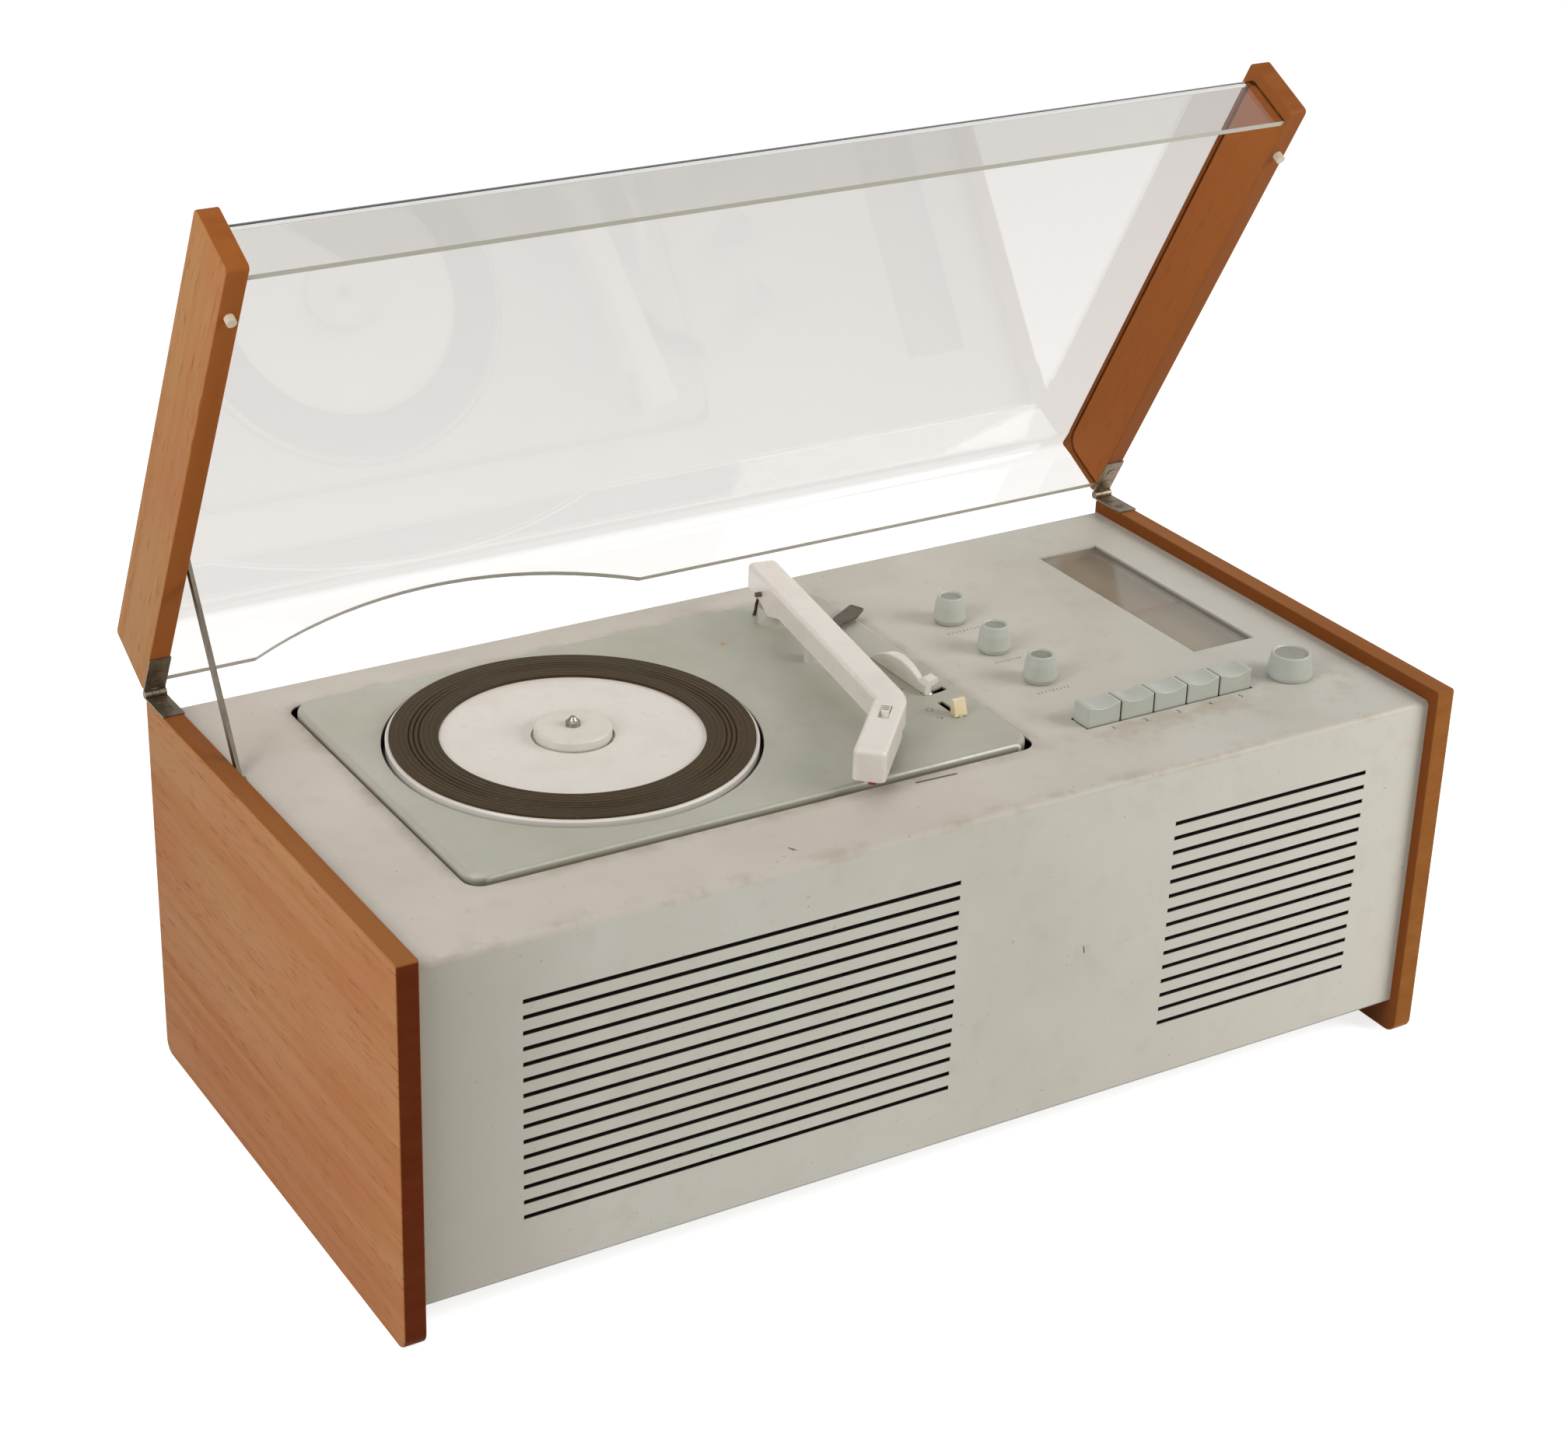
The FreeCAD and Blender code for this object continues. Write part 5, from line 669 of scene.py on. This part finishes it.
def pane_material():
    """Clear acrylic pane, whitish and frosted along its cut lower edges, its front and rear bands lighter."""
    paint = Paint("clear_acrylic", PANE_TINT, 0.02, IOR=1.49)
    normal = paint.normal()
    height = paint.vector("DOT_PRODUCT", paint.vector("SUBTRACT", paint.place, LID_HINGE), LID_UP)
    edge = paint.product(paint.rise(paint.vector("DOT_PRODUCT", normal, LID_DOWN), *CUT_FACING),
                         paint.fall(height, *CUT_EDGE_HEIGHT))
    lip = paint.math("ABSOLUTE", paint.vector("DOT_PRODUCT", normal, LID_FORWARD))
    tint = paint.mix(paint.rise(lip, *LIP_FACING), PANE_TINT, LIP_TINT)
    paint.color(paint.lay(tint, CUT_EDGE, edge))
    paint.feed(paint.math("SUBTRACT", 1.0, paint.product(edge, CUT_SOLID)),
               paint.shader.inputs["Transmission Weight"])
    haze = paint.span(paint.noise(14, 3), *PANE_HAZE)
    paint.rough(paint.math("ADD", haze, paint.product(edge, CUT_FROSTED)))
    return clear_in_shadow(paint, (0.93, 0.92, 0.92, 1.0))


def glass_material():
    """Dusty dial glass."""
    paint = Paint("dial_glass", (0.60, 0.56, 0.49, 1.0), 0.12, Transmission_Weight=0.86, IOR=1.22)
    paint.rough(paint.span(paint.noise(60, 3), 0.35, 0.75, 0.06, 0.16))
    return clear_in_shadow(paint, (0.9, 0.88, 0.86, 1.0))


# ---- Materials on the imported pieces

def dress(names, material):
    """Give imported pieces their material."""
    for name in names.split():
        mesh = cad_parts[name].data
        mesh.materials.clear()
        mesh.materials.append(material)


SMALL_HOLLOW, LARGE_HOLLOW = (0.2060, 0.2073), (0.2040, 0.2053)


def dress_outside():
    """Pieces that the photo shows."""
    dress("side_panel_left side_panel_right", wood("panel_wood", PANEL_TONES))
    dress("lid_cheek_left lid_cheek_right", wood("cheek_wood", CHEEK_TONES, LID_TURN, CHEEK_GRAIN_SHIFT))
    dress("cover", cover_metal())
    dress("deck_plate", deck_metal())
    dress("platter", pale_plastic("platter_enamel", srgb(222, 216, 207), srgb(186, 172, 150), 0.30,
                                  coat=0.3, stains=0.22))
    dress("platter_mat", mat_rubber())
    dress("centre_adapter", pale_plastic("adapter_plastic", srgb(216, 211, 201), srgb(170, 158, 138), 0.35,
                                         stains=0.3))
    dress("tonearm speed_lever", pale_plastic("arm_plastic", srgb(229, 222, 213), srgb(198, 183, 163), 0.22,
                                              coat=0.4, stains=0.3))
    # Selector: white plastic, made paler than the arm as painted light that lifts it where it lies low in its
    # window
    dress("stylus_selector", pale_plastic("selector_plastic", srgb(246, 241, 234), srgb(226, 216, 202), 0.3))
    dress("arm_base arm_rest", pale_plastic("cup_plastic", srgb(196, 195, 184), srgb(120, 96, 66), 0.35,
                                            stains=0.5))
    dress("start_slider", pale_plastic("slider_plastic", srgb(232, 214, 176), srgb(196, 168, 120), 0.3))
    dress("lid_buffers", pale_plastic("pale_rubber", srgb(215, 204, 180), srgb(170, 150, 118), 0.6))
    green, stain = srgb(186, 189, 179), srgb(160, 154, 136)
    dress("knob_tone knob_balance knob_volume",
          pale_plastic("knob_plastic", green, stain, 0.42, stains=0.3, wear=knob_hollow(*SMALL_HOLLOW)))
    dress("knob_tuning",
          pale_plastic("tuning_plastic", green, stain, 0.42, stains=0.3, wear=knob_hollow(*LARGE_HOLLOW)))
    dress("key_1 key_2 key_3 key_4 key_5",
          pale_plastic("key_plastic", green, stain, 0.40, stains=0.45, wear=key_grime))
    dress("lid_pane", pane_material())
    dress("dial_glass", glass_material())
    dress("dial_scale", scale_print())
    # Tray paler than the scale: painted light that lifts its shaded inner walls
    dress("dial_frame", plain("dial_tray", srgb(176, 168, 154), 0.7))
    dress("dial_pointer", plain("pointer_red", srgb(170, 84, 62), 0.5))
    dress("spindle", metal("bright_steel", srgb(150, 142, 130), 0.30, (900, 900, 60)))
    dress("arm_bracket", metal("bracket_steel", srgb(112, 100, 78), 0.45, (700, 700, 700), srgb(74, 54, 34)))
    dress("auto_stop_lever", plain("lever_steel", srgb(92, 84, 70), 0.45, 0.4))
    dress("stay stay_guide", metal("stay_steel", srgb(112, 103, 90), 0.42, (800, 800, 50)))
    dress("hinge_leaves_lower hinge_leaves_upper hinge_pins hinge_screws_lower hinge_screws_upper",
          metal("hinge_steel", srgb(128, 116, 98), 0.42, (700, 60, 700), srgb(78, 64, 46)))


def dress_inside():
    """Pieces that are hidden in the photo, or lie behind the slots."""
    dress("motor_pulley platter_bearing panel_screws",
          metal("turned_steel", srgb(150, 138, 122), 0.34, (800, 800, 50)))
    dress("speaker_baffle", speaker_cloth())
    dress("speaker_cones", plain("cone_paper", srgb(42, 39, 35), 0.9))
    dress("speaker_frames", plain("frame_steel", srgb(96, 92, 84), 0.5, 0.5))
    dress("speaker_magnets motor transformers", plain("iron", srgb(84, 82, 80), 0.55, 0.5))
    dress("rear_panel", plain("rear_board", srgb(96, 78, 58), 0.75))
    dress("base_plate tuner_chassis", plain("chassis_steel", srgb(126, 122, 114), 0.5, 0.6))
    dress("rear_sockets key_switch cartridge", plain("dark_plastic", srgb(48, 43, 38), 0.45))
    dress("deck_mounts idler_wheel", plain("black_rubber", srgb(50, 46, 42), 0.8))
    dress("potentiometers tuning_capacitor", plain("can_metal", srgb(182, 182, 178), 0.35, 0.9))
    dress("valves", plain("valve_glass", srgb(150, 152, 150), 0.12))


# ---- Small details on the model

def add_object(name, data, place, body):
    """Put an object in the scene on the body that carries it."""
    piece = bpy.data.objects.new(name, data)
    piece.matrix_world = place
    bpy.context.scene.collection.objects.link(piece)
    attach(piece, body)


def add_piece(name, form, place, body, material):
    """Finish a bmesh as a piece on a body."""
    bmesh.ops.recalc_face_normals(form, faces=form.faces[:])
    mesh = bpy.data.meshes.new(name)
    form.to_mesh(mesh)
    form.free()
    mesh.materials.append(material)
    add_object(name, mesh, place, body)


def add_blocks(name, boxes, place, body, material, round_edges=0.0):
    """Piece of boxes, each between two corners."""
    form = bmesh.new()
    for low, high in boxes:
        middle = [(a + b) / 2 for a, b in zip(low, high)]
        size = [b - a for a, b in zip(low, high)]
        bmesh.ops.create_cube(form, size=1.0,
                              matrix=Matrix.Translation(middle) @ Matrix.Diagonal((*size, 1.0)))
    if round_edges:
        bmesh.ops.bevel(form, geom=form.edges[:], offset=round_edges, segments=2, affect="EDGES")
    add_piece(name, form, place, body, material)


BODY_PLACE = Matrix.Translation((0.0, -BODY_SHIFT, 0.0))

FIGURES_X, FIGURES_Y = (0.1212, 0.1408, 0.1610, 0.1808, 0.1999), -0.0895
FIGURE_SIZE, PRINT_RISE = 0.0042, 0.00008
# Left end, right end and y of each row of ticks
TICK_ROWS = ((0.1109, 0.1298, 0.0408), (0.1126, 0.1275, -0.0001), (0.1108, 0.1289, -0.0402))
TICKS, LONG_TICK_EVERY, TICK_WIDTH, TICK_LENGTH = 9, 4, 0.00035, 0.0020


def add_print(ink_and_shade):
    """Plain figures in front of the keys and rows of ticks at the small knobs."""
    for number, x in enumerate(FIGURES_X, 1):
        text = bpy.data.curves.new(f"figure_{number}", "FONT")
        text.body = str(number)
        text.size = FIGURE_SIZE
        text.align_x, text.align_y = "CENTER", "CENTER"
        text.extrude = PRINT_RISE / 2
        text.materials.append(ink_and_shade)
        place = BODY_PLACE @ Matrix.Translation((x, FIGURES_Y, COVER_TOP))
        add_object(f"figure_{number}", text, place, "cabinet")
    for row, (x0, x1, y) in enumerate(TICK_ROWS, 1):
        boxes = []
        for tick in range(TICKS):
            x = x0 + (x1 - x0) * tick / (TICKS - 1)
            half = TICK_LENGTH / 2 if tick % LONG_TICK_EVERY == 0 else TICK_LENGTH / 3
            boxes.append(((x - TICK_WIDTH / 2, y - half, COVER_TOP - PRINT_RISE),
                          (x + TICK_WIDTH / 2, y + half, COVER_TOP + PRINT_RISE / 2)))
        add_blocks(f"ticks_{row}", boxes, BODY_PLACE, "cabinet", ink_and_shade)


ARM_PIVOT, ARM_SWING, ARM_SLOPE = (0.0337, 0.0892), math.radians(8.5), math.radians(1.3)
ARM_TOP, ARM_PIN, ARM_STRAIGHT, ARM_BEND = 0.0265, 0.017, 0.145, math.radians(34.2)


def head_place():
    """Head coordinates to the frame: X forward from the elbow, Y to the right, top face at height 0."""
    pin = Matrix.Translation((0, 0, DECK_TOP + ARM_PIN))
    tilt = pin @ Matrix.Rotation(ARM_SLOPE, 4, "X") @ Matrix.Translation((0, 0, ARM_TOP - ARM_PIN))
    arm = BODY_PLACE @ Matrix.Translation((*ARM_PIVOT, 0)) @ Matrix.Rotation(-ARM_SWING, 4, "Z") @ tilt
    turn = Matrix.Rotation(-math.pi / 2 - ARM_BEND, 4, "Z")
    return arm @ Matrix.Translation((0, -ARM_STRAIGHT, 0)) @ turn


WINDOW_MIDDLE, WINDOW_LENGTH, WINDOW_WIDTH = 0.0177, 0.0130, 0.0046
OUTLINE_WIDTH, OUTLINE_LOW, OUTLINE_HIGH = 0.00025, -0.0004, 0.00006
RIBS_FROM_WINDOW, RIB_WIDTH, RIB_INSET = (0.0016, 0.0030, 0.0044, 0.0058), 0.0004, 0.0006
RIB_LOW, RIB_HIGH = 0.0007, 0.00105
HEAD_LENGTH, HEAD_HALF = 0.0596, 0.008
HEAD_SLOT = ((0.0097, HEAD_HALF - 0.0003, -0.0147), (0.0105, HEAD_HALF + 0.00008, -0.0121))
HOLDER_ROUNDING, PIN_ROUNDING = 0.0003, 0.0002
# Corners measured from the head's front
STYLUS_HOLDER = ((-0.0068, -0.0008, -0.0172), (-0.0040, 0.0008, -0.0135))
STYLUS_GUARD = ((-0.0034, 0.0000, -0.0180), (-0.0008, 0.0036, -0.0159))
FRONT_PIN = ((-0.0014, -0.0018, -0.0178), (-0.0006, -0.0008, -0.0150))


def add_window_details(dark, shade_line):
    """Painted shade: grey lines outlining the selector's window and on the ribs of the selector, and a dark
    strip for a short slot in the head's side.
    """
    place = head_place()
    x0, x1 = WINDOW_MIDDLE - WINDOW_LENGTH / 2, WINDOW_MIDDLE + WINDOW_LENGTH / 2
    half, line, low, high = WINDOW_WIDTH / 2, OUTLINE_WIDTH, OUTLINE_LOW, OUTLINE_HIGH
    outline = [((x0 - line, -half - line, low), (x1 + line, -half, high)),
               ((x0 - line, half, low), (x1 + line, half + line, high)),
               ((x0 - line, -half, low), (x0, half, high)), ((x1, -half, low), (x1 + line, half, high))]
    # Painted shade: grey lines round the window's edge
    add_blocks("window_outline", outline, place, "tonearm", shade_line)
    ribs = [((x0 + along, -half + RIB_INSET, RIB_LOW), (x0 + along + RIB_WIDTH, half - RIB_INSET, RIB_HIGH))
            for along in RIBS_FROM_WINDOW]
    add_blocks("selector_ribs", ribs, place, "stylus_selector", shade_line)
    # Painted shade: a dark strip where the head's side has a short slot
    add_blocks("head_slot", [HEAD_SLOT], place, "tonearm", dark)


SPRING_PATH = ((0.0285, 0.1012, 0.1962), (0.0296, 0.1024, 0.1966), (0.0300, 0.1022, 0.1985),
               (0.0302, 0.1016, 0.2025), (0.0308, 0.1008, 0.2055), (0.0318, 0.0985, 0.2075))
SPRING_RADIUS, SPRING_ROUNDING = 0.0009, 2


def add_spring(rust):
    """Bent rusty spring wire at the left of the arm's base, hooked into the arm's bracket."""
    curve = bpy.data.curves.new("arm_spring", "CURVE")
    curve.dimensions = "3D"
    line = curve.splines.new("BEZIER")
    line.bezier_points.add(len(SPRING_PATH) - 1)
    for point, place in zip(line.bezier_points, SPRING_PATH):
        point.co = place
        point.handle_left_type = point.handle_right_type = "AUTO"
    curve.bevel_depth, curve.bevel_resolution, curve.use_fill_caps = SPRING_RADIUS, SPRING_ROUNDING, True
    curve.materials.append(rust)
    add_object("arm_spring", curve, BODY_PLACE, "arm_bracket")


def from_front(box):
    """Box measured from the head's front, in head coordinates."""
    return [[(HEAD_LENGTH + x, y, z) for x, y, z in box]]


def add_stylus_details(red, pale):
    """Stylus holder on the cartridge, its guard and a small pin at the head's front."""
    place, rounding = head_place(), HOLDER_ROUNDING
    add_blocks("stylus_holder", from_front(STYLUS_HOLDER), place, "cartridge", red, rounding)
    add_blocks("stylus_guard", from_front(STYLUS_GUARD), place, "tonearm", red, rounding)
    add_blocks("front_pin", from_front(FRONT_PIN), place, "tonearm", pale, PIN_ROUNDING)


REST_PLACE, FELT_RADIUS, FELT_HEIGHT = (0.02631, 0.03975, 0.2066), 0.0050, 0.0015
FELT_STEPS, NOTCH_PERIOD, NOTCH_STEPS, NOTCH_REACH = 36, 9, 3, 0.86


def add_rest_felt(dark):
    """Dark notched felt around the top of the arm's rest."""
    form = bmesh.new()
    corners = []
    for step in range(FELT_STEPS):
        turn = math.tau * step / FELT_STEPS
        reach = FELT_RADIUS * (NOTCH_REACH if step % NOTCH_PERIOD < NOTCH_STEPS else 1.0)
        corners.append(form.verts.new((reach * math.cos(turn), reach * math.sin(turn), 0.0)))
    face = form.faces.new(corners)
    raised = bmesh.ops.extrude_face_region(form, geom=[face])["geom"]
    bmesh.ops.translate(form, verts=[item for item in raised if isinstance(item, bmesh.types.BMVert)],
                        vec=(0, 0, FELT_HEIGHT))
    place = BODY_PLACE @ Matrix.Translation(REST_PLACE)
    add_piece("rest_felt", form, place, "cabinet", dark)


PLUG_RADIUS, PLUG_DEPTH, PLUG_SIDES = 0.0024, 0.0030, 32
PLUG_PLACE = (0.28184, 0.1133 - BODY_SHIFT, 0.28315)


def add_stud_plug(wood_material):
    """Flush wooden plug in the right cheek's unused hole for a stay stud, in the cheek's own coordinates."""
    form = bmesh.new()
    place = Matrix.Translation(PLUG_PLACE) @ Matrix.Rotation(math.pi / 2, 4, "Y")
    bmesh.ops.create_cone(form, cap_ends=True, segments=PLUG_SIDES, radius1=PLUG_RADIUS, radius2=PLUG_RADIUS,
                          depth=PLUG_DEPTH, matrix=place)
    add_piece("stud_plug", form, Matrix.Identity(4), "lid", wood_material)


TRAY_LOW, TRAY_HIGH, TRAY_SHEET = (0.0465, -0.0620, 0.1868), (0.0705, -0.0200, 0.1944), 0.0005


def add_slot_tray(dark):
    """Painted shade: a dark open box under the deck's two slots, hung from the deck, so that they look dark
    inside.
    """
    (x0, y0, z0), (x1, y1, z1), sheet = TRAY_LOW, TRAY_HIGH, TRAY_SHEET
    boxes = [((x0, y0, z0), (x1, y1, z0 + sheet)), ((x0, y0, z0), (x0 + sheet, y1, z1)),
             ((x1 - sheet, y0, z0), (x1, y1, z1)), ((x0, y0, z0), (x1, y0 + sheet, z1)),
             ((x0, y1 - sheet, z0), (x1, y1, z1))]
    add_blocks("slot_shade_box", boxes, BODY_PLACE, "cabinet", dark)


def add_details():
    """All the small pieces that only the scene has."""
    # Dark ink for the print, also the painted shade of the slot in the head's side
    ink_and_shade = plain("dark_print_and_shade", srgb(50, 45, 39), 0.6)
    # Black of the rest's felt, also the painted shade under the deck's slots
    felt_and_shade_black = plain("black_felt_and_shade", srgb(30, 28, 25), 0.8)
    add_print(ink_and_shade)
    # Grey lines of painted shade round the selector's window and on its ribs
    add_window_details(ink_and_shade, plain("shade_lines", srgb(150, 141, 126), 0.5))
    add_spring(plain("rusty_wire", srgb(84, 50, 28), 0.6, metallic=0.3, scale=400))
    add_stylus_details(plain("stylus_red", srgb(150, 52, 42), 0.4),
                       plain("pale_pin", srgb(222, 212, 198), 0.3))
    add_slot_tray(felt_and_shade_black)
    add_rest_felt(felt_and_shade_black)
    add_stud_plug(bpy.data.materials["cheek_wood"])


# ---- Stage and lights

WHITE = (1.0, 1.0, 1.0, 1.0)
FLOOR_HALF, FLOOR_COLOR = 4.0, (0.95, 0.95, 0.95, 1.0)
FLOOR_SEEN, FLOOR_GLOW = 0.75, 0.0
WORLD_SEEN, WORLD_GLOW = 1.0, 0.22


def set_strength(tree, seen, glow, socket):
    """One strength for what the camera sees, straight, through glass or mirrored; another for lighting."""
    path = tree.nodes.new("ShaderNodeLightPath")
    looked_at = path.outputs["Is Camera Ray"]
    for ray in ("Is Transmission Ray", "Is Glossy Ray"):
        either = tree.nodes.new("ShaderNodeMath")
        either.operation = "MAXIMUM"
        tree.links.new(looked_at, either.inputs[0])
        tree.links.new(path.outputs[ray], either.inputs[1])
        looked_at = either.outputs[0]
    mix = tree.nodes.new("ShaderNodeMix")
    mix.data_type = "FLOAT"
    mix.inputs["A"].default_value = glow
    mix.inputs["B"].default_value = seen
    tree.links.new(looked_at, mix.inputs["Factor"])
    tree.links.new(mix.outputs["Result"], socket)


def make_stage():
    """Plain pale floor and white surroundings."""
    material = bpy.data.materials.new("floor_white")
    material.use_nodes = True
    shader = material.node_tree.nodes["Principled BSDF"]
    shader.inputs["Base Color"].default_value = FLOOR_COLOR
    shader.inputs["Roughness"].default_value = 0.9
    shader.inputs["Specular IOR Level"].default_value = 0.0
    shader.inputs["Emission Color"].default_value = WHITE
    set_strength(material.node_tree, FLOOR_SEEN, FLOOR_GLOW, shader.inputs["Emission Strength"])
    mesh = bpy.data.meshes.new("floor")
    form = bmesh.new()
    form.faces.new([form.verts.new((x * FLOOR_HALF, y * FLOOR_HALF, 0.0))
                    for x, y in ((-1, -1), (1, -1), (1, 1), (-1, 1))])
    form.to_mesh(mesh)
    form.free()
    mesh.materials.append(material)
    floor = bpy.data.objects.new("floor", mesh)
    bpy.context.scene.collection.objects.link(floor)
    world = bpy.data.worlds.new("studio")
    bpy.context.scene.world = world
    world.use_nodes = True
    background = world.node_tree.nodes["Background"]
    background.inputs["Color"].default_value = WHITE
    set_strength(world.node_tree, WORLD_SEEN, WORLD_GLOW, background.inputs["Strength"])


LIGHT_AIM = Vector((0.0, 0.0, 0.15))
# Name, place, side of the square, watts and colour of each lamp
LIGHTS = (
    ("key", Vector((1.2, -1.0, 1.0)), 0.85, 17.5, (1.0, 0.99, 0.965)),
    ("left", Vector((-1.5, -0.45, 0.8)), 0.7, 5.5, (1.0, 1.0, 1.0)),
    ("near_left", Vector((-0.9, -0.3, 0.95)), 0.5, 3.6, (1.0, 1.0, 1.0)),
    ("above", Vector((-0.3, 0.2, 2.0)), 1.2, 3.0, (1.0, 1.0, 1.0)),
)


def make_lights():
    """Soft square lamps, all aimed at the object's middle."""
    for name, place, side, watts, color in LIGHTS:
        data = bpy.data.lights.new(name, "AREA")
        data.shape = "RECTANGLE"
        data.size = data.size_y = side
        data.energy = watts
        data.color = color
        light = bpy.data.objects.new(name, data)
        aim = (LIGHT_AIM - place).to_track_quat("-Z", "Y")
        light.matrix_world = Matrix.Translation(place) @ aim.to_matrix().to_4x4()
        bpy.context.scene.collection.objects.link(light)


dress_outside()
dress_inside()
add_details()
make_camera()
make_stage()
make_lights()
bpy.context.scene.view_settings.view_transform = "Standard"
